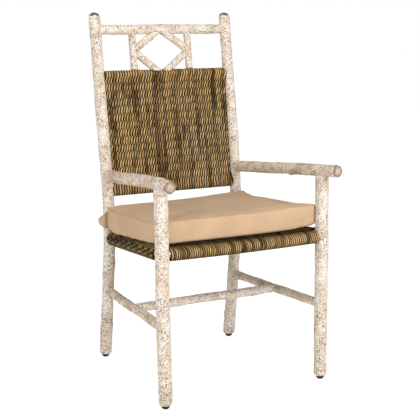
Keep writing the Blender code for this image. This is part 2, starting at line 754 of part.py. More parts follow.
# Glides: a turned button on a nail, under each foot
glide_profile = [
    (0.0, GLIDE_HEIGHT + NAIL_LENGTH),
    (NAIL_RADIUS, GLIDE_HEIGHT + NAIL_LENGTH - 2 * NAIL_RADIUS),
    (NAIL_RADIUS, GLIDE_HEIGHT),
    (GLIDE_RADIUS - GLIDE_EDGE / 2, GLIDE_HEIGHT),
    (GLIDE_RADIUS, GLIDE_HEIGHT - GLIDE_EDGE),
    (GLIDE_RADIUS, GLIDE_EDGE),
    (GLIDE_RADIUS - GLIDE_EDGE, 0.0),
    (0.0, 0.0),
]
for place_label, posts in (("front", front_posts), ("rear", rear_posts)):
    for label, side in SIDES:
        name = f"glide_{place_label}_{label}"
        foot = posts[label].at_height(GLIDE_HEIGHT)
        builder = bmesh.new()
        points = [builder.verts.new((radius, 0.0, height)) for radius, height in glide_profile]
        for upper, lower in zip(points, points[1:]):
            builder.edges.new((upper, lower))
        glide = add_part(name, mesh_from(builder, name), PLASTIC)
        glide.location = (foot.x, foot.y, 0.0)
        turning = glide.modifiers.new("turning", "SCREW")
        turning.steps = GLIDE_FACETS
        turning.render_steps = GLIDE_FACETS
        turning.use_merge_vertices = True
        turning.merge_threshold = WELD
        nail_top = Vector((foot.x, foot.y, GLIDE_HEIGHT + NAIL_LENGTH + CLEARANCE))
        bore = rod_mesh(f"{name}_bore", Vector((foot.x, foot.y, 0.0)), nail_top, NAIL_RADIUS + CLEARANCE)
        combine(posts[label].part, add_cutter(f"{name}_bore", bore), "DIFFERENCE")

# Centre the chair over its footprint, from its arm fronts to its post tops
reaches = [corner[1] for pole in (arms["left"], rear_posts["left"]) for corner in pole.part.bound_box]
carrier.location.y = -(min(reaches) + max(reaches)) / 2
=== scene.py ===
# %% [markdown]
# # A rustic pole armchair
# The chair is a frame of bark-covered poles with a woven back, a woven seat and a tied cushion. Its packed
# solids are the fixed frame of this scene: they give every size and place. The cells below dress them, one
# material of the real chair at a time, so each piece stands exactly where its solid stands.

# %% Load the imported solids
import json
import math
import random

import bmesh
import bpy
import numpy as np
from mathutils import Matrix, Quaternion, Vector, kdtree, noise
from mathutils.bvhtree import BVHTree

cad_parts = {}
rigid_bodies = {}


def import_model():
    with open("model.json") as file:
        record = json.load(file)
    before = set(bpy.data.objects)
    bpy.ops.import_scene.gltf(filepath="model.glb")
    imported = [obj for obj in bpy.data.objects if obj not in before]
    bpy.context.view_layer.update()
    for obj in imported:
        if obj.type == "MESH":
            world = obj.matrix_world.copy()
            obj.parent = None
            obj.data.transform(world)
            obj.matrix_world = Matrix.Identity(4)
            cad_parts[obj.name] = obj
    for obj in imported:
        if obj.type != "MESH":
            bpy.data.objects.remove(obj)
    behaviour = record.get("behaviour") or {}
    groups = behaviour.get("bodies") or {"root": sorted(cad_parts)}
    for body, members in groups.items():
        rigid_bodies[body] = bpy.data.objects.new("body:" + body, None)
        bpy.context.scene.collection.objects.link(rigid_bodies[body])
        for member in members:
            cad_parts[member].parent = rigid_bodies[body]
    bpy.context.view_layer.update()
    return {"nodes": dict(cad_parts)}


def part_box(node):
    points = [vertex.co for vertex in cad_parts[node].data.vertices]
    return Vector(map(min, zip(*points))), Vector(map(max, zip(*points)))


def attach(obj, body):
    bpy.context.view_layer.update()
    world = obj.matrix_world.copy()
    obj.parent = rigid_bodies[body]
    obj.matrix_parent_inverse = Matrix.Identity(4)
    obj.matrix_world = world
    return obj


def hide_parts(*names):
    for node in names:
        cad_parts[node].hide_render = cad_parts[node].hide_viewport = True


for leftover in list(bpy.data.objects):
    bpy.data.objects.remove(leftover, do_unlink=True)
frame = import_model()
ACROSS = Vector((1, 0, 0))
UP = Vector((0, 0, 1))
MM = 0.001

# %% [markdown]
# ## The camera
# The photograph was taken from the chair's left front, a little above the arms, with a long lens. A camera
# needs a place, a direction and a lens, and all three were solved from the feet and the post tops.

# %% Camera
EYE = Vector((-1.4229, -2.6969, 1.0522))
AIM = Vector((0.0597, 0.0785, 0.4822))
FIELD_OF_VIEW = math.radians(23.146)
ROLL = math.radians(-0.3)

camera = bpy.data.objects.new("camera", bpy.data.cameras.new("camera"))
bpy.context.scene.collection.objects.link(camera)
camera.location = EYE
camera.rotation_mode = "QUATERNION"
camera.rotation_quaternion = (AIM - EYE).to_track_quat("-Z", "Y") @ Quaternion((0, 0, 1), ROLL)
camera.data.angle = FIELD_OF_VIEW
bpy.context.scene.camera = camera
bpy.context.scene.view_settings.view_transform = "Standard"
print("camera lens:", round(camera.data.lens, 1), "mm")

# %% [markdown]
# ## Shader maths
# A node tree can be built node by node, but its formulas are then hard to read. Here one small class wraps
# a socket, so that `a * b + 1` adds the Math nodes, and one method makes every other kind of node.


# %% A socket that takes part in formulas
class Value:
    """A socket of a material that Python's operators join to Math nodes."""

    def __init__(self, finish, socket):
        self.finish = finish
        self.socket = socket

    def maths(self, operation, *values):
        sockets = dict(enumerate(values))
        return self.finish.node("ShaderNodeMath", {"operation": operation}, sockets)

    def __add__(self, other):
        return self.maths("ADD", self, other)

    def __radd__(self, other):
        return self.maths("ADD", other, self)

    def __sub__(self, other):
        return self.maths("SUBTRACT", self, other)

    def __rsub__(self, other):
        return self.maths("SUBTRACT", other, self)

    def __mul__(self, other):
        return self.maths("MULTIPLY", self, other)

    def __rmul__(self, other):
        return self.maths("MULTIPLY", other, self)

    def __lt__(self, other):
        return self.maths("LESS_THAN", self, other)

    def peak(self, other):
        return self.maths("MAXIMUM", self, other)

    def wave(self):
        return self.maths("SINE", self)

    def ease(self, low, high):
        """Rise smoothly from 0 at low to 1 at high."""
        settings = {"interpolation_type": "SMOOTHSTEP"}
        return self.finish.node("ShaderNodeMapRange", settings, {0: self, 1: low, 2: high, 3: 0.0, 4: 1.0})


class Finish:
    """A material and the nodes that make its look."""

    def __init__(self, name, material=None):
        self.material = material or bpy.data.materials.new(name)
        self.material.use_nodes = True
        self.tree = self.material.node_tree
        self.shader = self.tree.nodes.get("Principled BSDF")

    def node(self, kind, settings, sockets, output=0):
        """Add a node: first its settings, then the values or links of its sockets."""
        node = self.tree.nodes.new(kind)
        for name, value in settings.items():
            setattr(node, name, value)
        for name, value in sockets.items():
            self.feed(node.inputs[name], value)
        return Value(self, node.outputs[output])

    def feed(self, socket, value):
        """Link a value to a socket, or set the socket's own number or colour."""
        if isinstance(value, Value):
            self.tree.links.new(value.socket, socket)
        elif socket.type == "RGBA":
            socket.default_value = (*value, 1.0)
        else:
            socket.default_value = value

    def set(self, **sockets):
        """Feed the shader's own sockets, with _ for each space in a name."""
        for name, value in sockets.items():
            self.feed(self.shader.inputs[name.replace("_", " ")], value)

    def attribute(self, name, output):
        return self.node("ShaderNodeAttribute", {"attribute_name": name}, {}, output)

    def stretch(self, vector, sizes):
        settings = {"operation": "MULTIPLY"}
        return self.node("ShaderNodeVectorMath", settings, {0: vector, 1: sizes})

    def grain(self, vector, scale, detail=2.0, roughness=0.5):
        sockets = {"Vector": vector, "Scale": scale, "Detail": detail, "Roughness": roughness}
        return self.node("ShaderNodeTexNoise", {}, sockets, "Fac")

    def mix(self, share, first, second):
        settings = {"data_type": "RGBA"}
        return self.node("ShaderNodeMix", settings, {0: share, 6: first, 7: second}, 2)

    def bump(self, height, strength, distance):
        sockets = {"Height": height, "Strength": strength, "Distance": distance}
        self.set(Normal=self.node("ShaderNodeBump", {}, sockets))


print("shader maths ready")

# %% [markdown]
# ## Studio
# The photograph has a white background and soft light from the front. A large floor gives the chair a
# surface to stand on and a soft shadow. The floor and the sky are white to the camera at a strength of 1, so
# the background is white without any more light on the chair.

# %% Floor, sky and lamps
FLOOR_SIZE = 7.0
FLOOR_GLOW = 0.62
FLOOR_WHITE = 1.35
FLOOR_COLOUR = (0.93, 0.93, 0.93)
SKY_FILL = 0.50
KEY_POWER = 80.0
KEY_PLACE = Vector((1.0, -3.1, 2.2))
KEY_SIZE = 1.8
SIDE_POWER = 49.0
SIDE_PLACE = Vector((-2.9, -1.6, 1.9))
SIDE_SIZE = 1.8
LAMP_AIM = Vector((0.0, 0.0, 0.55))


def seen_directly(finish):
    """Return 1 for camera, mirror and glass rays and 0 for rays that carry light."""
    rays = [finish.node("ShaderNodeLightPath", {}, {}, name)
            for name in ("Is Camera Ray", "Is Glossy Ray", "Is Transmission Ray")]
    return rays[0].peak(rays[1]).peak(rays[2])


builder = bmesh.new()
bmesh.ops.create_grid(builder, x_segments=1, y_segments=1, size=FLOOR_SIZE)
floor_mesh = bpy.data.meshes.new("floor")
builder.to_mesh(floor_mesh)
builder.free()
floor = bpy.data.objects.new("floor", floor_mesh)
bpy.context.scene.collection.objects.link(floor)

paper = Finish("white_paper")
paper.set(Base_Color=FLOOR_COLOUR, Roughness=0.9)
glow = paper.node("ShaderNodeEmission", {}, {"Color": (1, 1, 1), "Strength": FLOOR_WHITE})
lit = Value(paper, paper.shader.outputs[0])
floor_mix = paper.node("ShaderNodeMixShader", {}, {0: seen_directly(paper) * FLOOR_GLOW, 1: lit, 2: glow})
paper.feed(paper.tree.nodes["Material Output"].inputs["Surface"], floor_mix)
floor_mesh.materials.append(paper.material)

bpy.context.scene.world = bpy.data.worlds.new("sky")
sky = Finish("sky", bpy.context.scene.world)
fill = sky.node("ShaderNodeBackground", {}, {"Color": (1, 1, 1), "Strength": SKY_FILL})
white = sky.node("ShaderNodeBackground", {}, {"Color": (1, 1, 1), "Strength": 1.0})
sky_mix = sky.node("ShaderNodeMixShader", {}, {0: seen_directly(sky), 1: fill, 2: white})
sky.feed(sky.tree.nodes["World Output"].inputs["Surface"], sky_mix)


def hang_lamp(name, place, size, power):
    """Hang a soft square lamp that faces the chair."""
    lamp_data = bpy.data.lights.new(name, "AREA")
    lamp_data.size = size
    lamp_data.energy = power
    lamp = bpy.data.objects.new(name, lamp_data)
    lamp.location = place
    lamp.rotation_euler = (LAMP_AIM - place).to_track_quat("-Z", "Y").to_euler()
    bpy.context.scene.collection.objects.link(lamp)


hang_lamp("key_lamp", KEY_PLACE, KEY_SIZE, KEY_POWER)
hang_lamp("side_lamp", SIDE_PLACE, SIDE_SIZE, SIDE_POWER)
print("studio ready")

# %% [markdown]
# ## Where the poles run
# A pole is never quite straight, and its solid already holds its sway. So each solid is cut across with
# planes, and a circle is fitted to each cut: the circles' centres are the pole's axis. Points on a mortise
# lie inside the circle, so they are dropped and the circle is fitted once more.

# %% Measure a pole's axis
CUT_TRIM = 34 * MM
CUT_SPACING = 26 * MM
WELD = 1e-6


def fit_circle(ring, direction):
    """Return the centre and radius of the round cut that most of these points lie on."""
    across = np.cross(direction, (0.31, 0.83, 0.47))
    across /= np.linalg.norm(across)
    beside = np.cross(direction, across)
    origin = ring.mean(axis=0)
    flat = np.column_stack(((ring - origin) @ across, (ring - origin) @ beside))
    for attempt in range(3):
        terms = np.column_stack((2 * flat, np.ones(len(flat))))
        centre = np.linalg.lstsq(terms, (flat ** 2).sum(axis=1), rcond=None)[0][:2]
        distance = np.linalg.norm(flat - centre, axis=1)
        near = np.abs(distance / np.median(distance) - 1) < 0.07
        flat, distance = flat[near], distance[near]
    return origin + across * centre[0] + beside * centre[1], distance.max()


def measure_pole(node):
    """Return the ends, centres and radii of a pole's solid, from its lower or left end."""
    builder = bmesh.new()
    builder.from_mesh(frame["nodes"][node].data)
    bmesh.ops.remove_doubles(builder, verts=builder.verts, dist=WELD)
    points = np.array([vert.co for vert in builder.verts])
    middle = points.mean(axis=0)
    direction = np.linalg.svd(points - middle, full_matrices=False)[2][0]
    direction *= np.sign(direction[np.argmax(np.abs(direction))])
    reach = (points - middle) @ direction
    low, high = reach.min(), reach.max()
    trim = min(CUT_TRIM, 0.3 * (high - low))
    count = max(3, round((high - low - 2 * trim) / CUT_SPACING) + 1)
    circles = []
    for offset in np.linspace(low + trim, high - trim, count):
        geometry = builder.verts[:] + builder.edges[:] + builder.faces[:]
        cut = bmesh.ops.bisect_plane(builder, geom=geometry, plane_co=middle + direction * offset,
                                     plane_no=direction)["geom_cut"]
        ring = np.array([vert.co for vert in cut if isinstance(vert, bmesh.types.BMVert)])
        circles.append(fit_circle(ring, direction))
    builder.free()
    centres = np.array([centre for centre, radius in circles])
    radii = np.array([radius for centre, radius in circles])
    first = (centres[1] - centres[0]) / np.linalg.norm(centres[1] - centres[0])
    last = (centres[-1] - centres[-2]) / np.linalg.norm(centres[-1] - centres[-2])
    start = centres[0] - first * trim / (first @ direction)
    end = centres[-1] + last * trim / (last @ direction)
    return np.vstack((start, centres, end)), np.concatenate((radii[:1], radii, radii[-1:]))


class Axis:
    """The smooth axis of a pole, read by the distance from its start."""

    def __init__(self, node, extend=(0.0, 0.0), start_shift=(0.0, 0.0, 0.0)):
        centres, radii = measure_pole(node)
        first = (centres[0] - centres[1]) / np.linalg.norm(centres[0] - centres[1])
        last = (centres[-1] - centres[-2]) / np.linalg.norm(centres[-1] - centres[-2])
        centres[0] += first * extend[0] + np.array(start_shift)
        centres[-1] += last * extend[1]
        for smoothing in range(2):
            centres[1:-1] = (centres[:-2] + 2 * centres[1:-1] + centres[2:]) / 4
            radii[1:-1] = (radii[:-2] + 2 * radii[1:-1] + radii[2:]) / 4
        steps = np.linalg.norm(np.diff(centres, axis=0), axis=1)
        self.marks = np.concatenate(([0.0], np.cumsum(steps)))
        self.centres = centres
        self.radii = radii
        self.length = self.marks[-1]

    def place(self, along):
        return Vector([np.interp(along, self.marks, column) for column in self.centres.T])

    def radius(self, along):
        return float(np.interp(along, self.marks, self.radii))

    def at_height(self, height):
        return float(np.interp(height, self.centres[:, 2], self.marks))


rear_axes = [Axis(f"rear_post_{label}") for label in ("left", "right")]
print("rear post:", round(rear_axes[0].length, 3), "m long, radius", round(rear_axes[0].radius(0.5), 4))

# %% [markdown]
# ## Pale bark
# The poles keep their bark under a thin white wash: cream, with countless small brown flecks, some grey
# weathering and a few dark knots. Each pole carries an attribute with its own straightened coordinates, so
# the flecks run along the wood whichever way the pole points. Knots and sawn ends are attributes as well.

# %% Bark material
BARK_PALE = (0.88, 0.81, 0.73)
BARK_CREAM = (0.78, 0.65, 0.52)
BARK_TAN = (0.78, 0.61, 0.41)
BARK_AGED = (0.50, 0.35, 0.21)
BARK_GREY = (0.34, 0.26, 0.18)
FLECK_BROWN = (0.19, 0.11, 0.06)
FLECK_DARK = (0.045, 0.03, 0.02)
CUT_RIM = (0.075, 0.052, 0.034)
CUT_HEART = (0.60, 0.45, 0.34)

bark = Finish("pale_bark")
bark_place = bark.attribute("bark_place", "Vector")
knot = bark.attribute("knot", "Fac")
cut_end = bark.attribute("cut_end", "Fac")
age = bark.attribute("age", "Fac")

patches = bark.grain(bark_place, 30.0, 3.0, 0.6)
mottle = bark.grain(bark_place, 170.0, 3.0, 0.7)
weather = (bark.grain(bark_place, 15.0, 3.0, 0.6) + age * 0.45).ease(0.60, 0.92)
colour = bark.mix(patches.ease(0.35, 0.65), BARK_PALE, BARK_CREAM)
colour = bark.mix(age, colour, BARK_TAN)
colour = bark.mix(weather, colour, BARK_AGED)
colour = bark.mix(mottle.ease(0.5, 0.68) * (0.5 - age * 0.5), colour, BARK_GREY)

ripple = bark.node("ShaderNodeTexNoise", {}, {"Vector": bark_place, "Scale": 400.0, "Detail": 2.0}, "Color")
rippled = bark.node("ShaderNodeVectorMath", {"operation": "MULTIPLY_ADD"},
                    {0: ripple, 1: (0.004, 0.004, 0.004), 2: bark_place})


def flecks(scale, stretch, share, inner, outer):
    """Scatter ragged spots: a share of the cells of a Voronoi pattern each hold one."""
    sockets = {"Vector": bark.stretch(rippled, stretch), "Scale": scale, "Randomness": 1.0}
    distance = bark.node("ShaderNodeTexVoronoi", {}, sockets, "Distance")
    lot = bark.node("ShaderNodeTexVoronoi", {}, sockets, "Color")
    red = bark.node("ShaderNodeSeparateColor", {}, {0: lot}, "Red")
    return (1 - distance.ease(inner, outer)) * (red < share)


dense = bark.grain(bark_place, 26.0, 2.0).ease(0.36, 0.62)
small = flecks(300.0, (0.75, 0.75, 1.35), 0.85, 0.24, 0.58) * (0.55 + dense * 0.45) * (1 - age * 1.1)
large = flecks(160.0, (0.8, 0.8, 1.2), 0.45, 0.18, 0.44) * (0.3 + dense * 0.7)
scars = flecks(95.0, (1.0, 1.0, 1.3), 0.6, 0.14, 0.36) * age.ease(0.0, 0.3)
blotch = bark.grain(bark_place, 85.0, 4.0, 0.75).ease(0.54, 0.66)
colour = bark.mix(blotch * (0.45 + age * 0.6), colour, BARK_GREY)
colour = bark.mix(small * 0.95, colour, FLECK_BROWN)
colour = bark.mix(large * 0.95, colour, FLECK_DARK)
colour = bark.mix(scars.peak(knot.ease(0.25, 0.8)) * 0.85, colour, FLECK_DARK)

rings = (bark.node("ShaderNodeVectorMath", {"operation": "LENGTH"},
                   {0: bark.stretch(bark_place, (1.0, 1.0, 0.0))}, "Value") * 4200).wave() * 0.14
sawn = bark.mix((cut_end + rings).ease(0.53, 0.72), CUT_RIM, CUT_HEART)
sawn = bark.mix(mottle.ease(0.4, 0.7) * 0.5, sawn, CUT_RIM)
colour = bark.mix(cut_end.ease(0.2, 0.4), colour, sawn)
rough = bark.grain(bark_place, 420.0, 2.0)
bark.set(Base_Color=colour, Roughness=0.72 + rough * 0.2, Specular_IOR_Level=0.3)
bark.bump(mottle * 0.7 + rough * 0.4 - small * 0.5 - large * 0.6 - scars, 0.55, 0.0008)
print("bark nodes:", len(bark.tree.nodes))

# %% [markdown]
# ## The poles
# A pole could be a cylinder with a bump texture, but its outline would be machine-straight. Here a capped
# tube is cut into many rings and bent onto the measured axis. Noise in the pole's own coordinates moves its
# skin in and out, knots swell under it, and the ends are domed, shaved or bevelled as on the real chair.

# %% Grow a pole
POLE_SIDES = 36
RING_SPACING = 4.5 * MM
END_LENGTH = 18 * MM
END_SPACING = 1.5 * MM
LUMPS = ((20.0, 1.2 * MM), (70.0, 0.75 * MM), (230.0, 0.3 * MM))
KNOT_SWELL = 2.4 * MM
KNOT_PIT = 1.9 * MM
SHAVE_LENGTH = 9 * MM
SHAVE_SHARE = 0.26
FOOT_LENGTH = 6 * MM
FOOT_SHARE = 0.16
SAWN_SHARE = 0.6
SAWN_RAGGED = 0.6
KNOT_WIDTH = 9 * MM


def tube_blank(sides, rings):
    """Return the mesh of a capped tube of unit radius whose rings lie at whole heights from 0."""
    builder = bmesh.new()
    bmesh.ops.create_cone(builder, cap_ends=True, segments=sides, radius1=1.0, radius2=1.0, depth=rings)
    bmesh.ops.translate(builder, verts=builder.verts, vec=(0, 0, rings / 2))
    long_edges = [edge for edge in builder.edges if edge.calc_length() > rings - 0.5]
    bmesh.ops.subdivide_edges(builder, edges=long_edges, cuts=rings - 1, use_grid_fill=True)
    mesh = bpy.data.meshes.new("tube_blank")
    builder.to_mesh(mesh)
    builder.free()
    return mesh


def ring_marks(length):
    """Return the distances of a pole's rings, closer together near its ends."""
    fine = np.arange(0.0, END_LENGTH, END_SPACING)
    count = max(2, round((length - 2 * END_LENGTH) / RING_SPACING))
    middle = np.linspace(END_LENGTH, length - END_LENGTH, count)
    return np.concatenate((fine, middle, length - fine[::-1]))


def end_share(kind, distance, dome):
    """Return how much of its radius a pole keeps at a distance from one of its ends."""
    if kind == "dome":
        return math.sqrt(max(0.03, 1 - max(0.0, 1 - distance / dome) ** 2))
    length, lost = (FOOT_LENGTH, FOOT_SHARE) if kind == "foot" else (SHAVE_LENGTH, SHAVE_SHARE)
    return 1 - lost * max(0.0, 1 - distance / length) ** 2


def add_piece(name, mesh, finish, slot, *nodes):
    """Put a finished mesh on the chair's body, in place of its solids."""
    mesh.materials.clear()
    mesh.materials.append(finish.material)
    mesh.shade_smooth()
    piece = bpy.data.objects.new(name, mesh)
    bpy.context.scene.collection.objects.link(piece)
    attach(piece, "root")
    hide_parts(*nodes)
    return piece


def grow_pole(node, ends, knots, years, dome=MM, extend=(0.0, 0.0), girth=1.0,
              start_shift=(0.0, 0.0, 0.0)):
    """Return a bmesh of one pole with its lumps and knots, and the attributes that its finish reads."""
    axis = Axis(node, extend, start_shift)
    lot = random.Random(node)
    offset = Vector((lot.random(), lot.random(), lot.random())) * 9
    marks = ring_marks(axis.length)
    spots = [(lot.uniform(0.06, 0.94) * axis.length, lot.uniform(0, math.tau), lot.uniform(0.6, 1.3))
             for number in range(knots)]
    tangent = (axis.place(axis.length) - axis.place(0.0)).normalized()
    side = tangent.cross(Vector((0.36, 0.48, 0.8))).normalized()
    over = tangent.cross(side)
    paleness = 0.5 * (1 - abs(tangent.z))

    blank = tube_blank(POLE_SIDES, len(marks) - 1)
    builder = bmesh.new()
    builder.from_mesh(blank)
    bpy.data.meshes.remove(blank)
    layers = builder.verts.layers
    place_layer = layers.float_vector.new("bark_place")
    knot_layer = layers.float.new("knot")
    cut_layer = layers.float.new("cut_end")
    age_layer = layers.float.new("age")
    for vert in builder.verts:
        along = float(marks[round(vert.co.z)])
        angle = math.atan2(vert.co.y, vert.co.x)
        full = axis.radius(along) * girth
        keep = end_share(ends[0], along, dome) * end_share(ends[1], axis.length - along, dome)
        local = Vector((full * vert.co.x, full * vert.co.y, along)) + offset
        skin = sum(noise.noise(local * scale) * height for scale, height in LUMPS)
        dark = 0.0
        for spot, turn, size in spots:
            around = full * (math.remainder(angle - turn, math.tau))
            far = math.hypot(along - spot, around) / (KNOT_WIDTH * size)
            skin += size * (KNOT_SWELL * math.exp(-far ** 2) - KNOT_PIT * math.exp(-18 * far ** 2))
            dark = max(dark, math.exp(-9 * far * far))
        radius = (full + skin) * keep
        vert[place_layer] = Vector((radius * vert.co.x, radius * vert.co.y, along)) + offset
        vert[knot_layer] = dark
        vert[age_layer] = years
        sawn_depth = SAWN_SHARE * dome * (1 + SAWN_RAGGED * noise.noise(local * 110))
        for kind, distance in zip(ends, (along, axis.length - along)):
            if kind == "dome" and distance < sawn_depth:
                vert[cut_layer] = 0.5 + paleness * (1 - keep)
        vert.co = axis.place(along) + (side * vert.co.x + over * vert.co.y) * radius
    bmesh.ops.recalc_face_normals(builder, faces=builder.faces)
    return builder


def finish_pole(builder, node):
    """Turn a grown pole into the piece that replaces its solid."""
    mesh = bpy.data.meshes.new(f"bark_{node}")
    builder.to_mesh(mesh)
    builder.free()
    add_piece(f"bark_{node}", mesh, bark, "bark", node)


UPWARDS = Vector((0, 0, 5 * MM))
POLES = {
    "rear_post_left": (("foot", "dome"), 9, 0.05, 16 * MM, UPWARDS),
    "rear_post_right": (("foot", "dome"), 8, 0.05, 16 * MM, UPWARDS),
    "front_post_left": (("foot", "shave"), 5, 0.1, MM, UPWARDS),
    "front_post_right": (("foot", "shave"), 5, 0.0, MM, UPWARDS),
    "arm_left": (("dome", "shave"), 9, 0.3, 8 * MM, Vector((0, -9 * MM, -6 * MM))),
    "arm_right": (("dome", "shave"), 12, 0.3, 8 * MM, Vector((0, -12 * MM, 0))),
    "crest_rail": (("shave", "shave"), 4, 0.1, MM, Vector()),
    "spindle_left": (("shave", "shave"), 1, 0.1, MM, Vector()),
    "spindle_right": (("shave", "shave"), 2, 0.1, MM, Vector()),
    "side_stretcher_left": (("shave", "shave"), 3, 0.35, MM, Vector()),
    "side_stretcher_right": (("shave", "shave"), 3, 0.4, MM, Vector()),
    "cross_stretcher": (("shave", "shave"), 6, 0.0, MM, Vector()),
    "back_top_rod": (("shave", "shave"), 0, 0.3, MM, Vector()),
    "back_bottom_rod": (("shave", "shave"), 0, 0.3, MM, Vector()),
}
for node, (ends, knots, years, dome, start_shift) in POLES.items():
    finish_pole(grow_pole(node, ends, knots, years, dome, start_shift=start_shift), node)
SEAT_RODS = ("seat_front_rod", "seat_rear_rod", "seat_left_rod", "seat_right_rod")
for node in SEAT_RODS:
    finish_pole(grow_pole(node, ("shave", "shave"), 0, 0.3, girth=0.84), node)
print("poles:", len(POLES) + len(SEAT_RODS))

# %% [markdown]
# ## The diamond
# Four sticks make the diamond between the spindles. Two sticks meet at each corner, where each is cut along
# the plane half-way between them. The other cuts hide inside the crest rail, the spindle or the woven roll.

# %% Lattice sticks
STICK_EXTENSION = 16 * MM
HIDDEN_CUT = 5 * MM


def cut_flat(builder, place, outward):
    """Cut away what lies beyond a plane and close the cut."""
    geometry = builder.verts[:] + builder.edges[:] + builder.faces[:]
    bmesh.ops.bisect_plane(builder, geom=geometry, plane_co=place, plane_no=outward, clear_outer=True)
    rim = [edge for edge in builder.edges if edge.is_boundary]
    bmesh.ops.holes_fill(builder, edges=rim, sides=0)


middle_height = (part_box("lattice_upper_left")[0].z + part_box("lattice_lower_left")[1].z) / 2
diamond_x = (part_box("lattice_upper_left")[1].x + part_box("lattice_upper_right")[0].x) / 2
crest_z = sum(corner.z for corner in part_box("crest_rail")) / 2
back_top_z = sum(corner.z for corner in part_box("back_top_rod")) / 2
for label, outward in (("left", -1), ("right", 1)):
    spindle_x = sum(corner.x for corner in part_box(f"spindle_{label}")) / 2
    for level, rise, hidden in (("upper", 1, crest_z - HIDDEN_CUT), ("lower", -1, back_top_z + HIDDEN_CUT)):
        node = f"lattice_{level}_{label}"
        stick = grow_pole(node, ("shave", "shave"), 1, 0.1, extend=(STICK_EXTENSION, STICK_EXTENSION))
        cut_flat(stick, Vector((0, 0, middle_height)), UP * -rise)
        cut_flat(stick, Vector((diamond_x, 0, 0)), ACROSS * -outward)
        cut_flat(stick, Vector((spindle_x - outward * HIDDEN_CUT, 0, 0)), ACROSS * outward)
        cut_flat(stick, Vector((0, 0, hidden)), UP * rise)
        finish_pole(stick, node)
print("diamond: 4 sticks about", round(diamond_x, 4), round(middle_height, 3))

# %% [markdown]
# ## Rattan
# The back and the seat are woven from thin rattan. Its colour runs from straw through brown to nearly black
# along each strand, and neighbours from one bundle look alike. Each strand carries its own number, its
# length and its place across the panel, so the finish can vary with all three. A second attribute, behind,
# paints shade: on the side of each strand that faces inwards, on the flat seat under the cushion, on the
# side rolls and on the rolls' linings. It also darkens a few real dark bundles.

# %% Rattan material
STRAW = (0.64, 0.43, 0.19)
CHESTNUT = (0.43, 0.26, 0.095)
SMOKED = (0.030, 0.019, 0.008)
SILVERED = (0.50, 0.43, 0.29)
# Near black: painted shade in the hollows between strands, and also the colour of the darkest canes.
PAINTED_SHADE_AND_DARK_CANE = (0.012, 0.006, 0.001)

rattan = Finish("rattan")
strand = rattan.attribute("strand", "Vector")
number = rattan.node("ShaderNodeSeparateXYZ", {}, {0: strand}, "X")
bundle = rattan.grain(rattan.stretch(strand, (0.3, 4.5, 52.0)), 1.0, 2.0, 0.6)
own = rattan.grain(rattan.stretch(strand, (37.0, 26.0, 0.0)), 1.0, 2.0, 0.6)
streak = rattan.grain(rattan.stretch(strand, (53.0, 7.0, 0.0)), 1.0, 1.0)
colour = rattan.mix(own.ease(0.32, 0.68), STRAW, CHESTNUT)
fibre_place = rattan.node("ShaderNodeTexCoord", {}, {}, "Object")
across, height = (rattan.node("ShaderNodeSeparateXYZ", {}, {0: fibre_place}, axis) for axis in "XZ")
# Strands right of the middle, between about 0.5 and 0.8 m high, are paler.
lower_right_pale = across.ease(0.0, 0.12) * height.ease(0.45, 0.55) * (1 - height.ease(0.70, 0.92))
colour = rattan.mix((streak + number * 0.1 + lower_right_pale * 0.14).ease(0.64, 0.8) * 0.7, colour, SILVERED)
colour = rattan.mix((bundle * 0.75 + own * 0.25).ease(0.46, 0.66) * 0.85, colour, SMOKED)
# Painted shade: the behind attribute darkens strands towards near black where they face inwards, lie under
# the cushion or line a roll.
colour = rattan.mix(rattan.attribute("behind", "Fac").ease(0.045, 0.28) * 0.97, colour, PAINTED_SHADE_AND_DARK_CANE)
fibre = rattan.grain(fibre_place, 900.0, 2.0)
rattan.set(Base_Color=colour, Roughness=0.5 + fibre * 0.25, Specular_IOR_Level=0.05)
rattan.bump(fibre, 0.35, 0.0004)
print("rattan nodes:", len(rattan.tree.nodes))

# %% [markdown]
# ## The woven back
# Thin stakes run across the back, and strands run up it in pairs. The two strands of a pair cross between
# the stakes, so one passes in front of a stake while its twin passes behind. At the top and the bottom they
# turn round a rod, one over the other, and are tucked in behind. A texture would look flat from the side, so
# every strand is a real tube: one blank with a few sides, bent along its own path for each strand.

# %% Weave helpers
STRAND_SIDES = 6
LINING_SIDES = 24
LINING_STEPS = 8
FLANK = 1.4
SWING_EDGE = 2.5
SWING_FORWARD = 0.8
# The inner twin of a pair on a roll swings less, so more of it is painted with shade.
ROLL_SWING = (1.0, 0.7)
ROLL_STEP = 0.8 * MM


def front_share(wave):
    """Return 1 where a strand passes in front of a stake and -1 where it passes behind."""
    return min(1.0, max(-1.0, SWING_EDGE * math.sin(wave) + SWING_FORWARD))


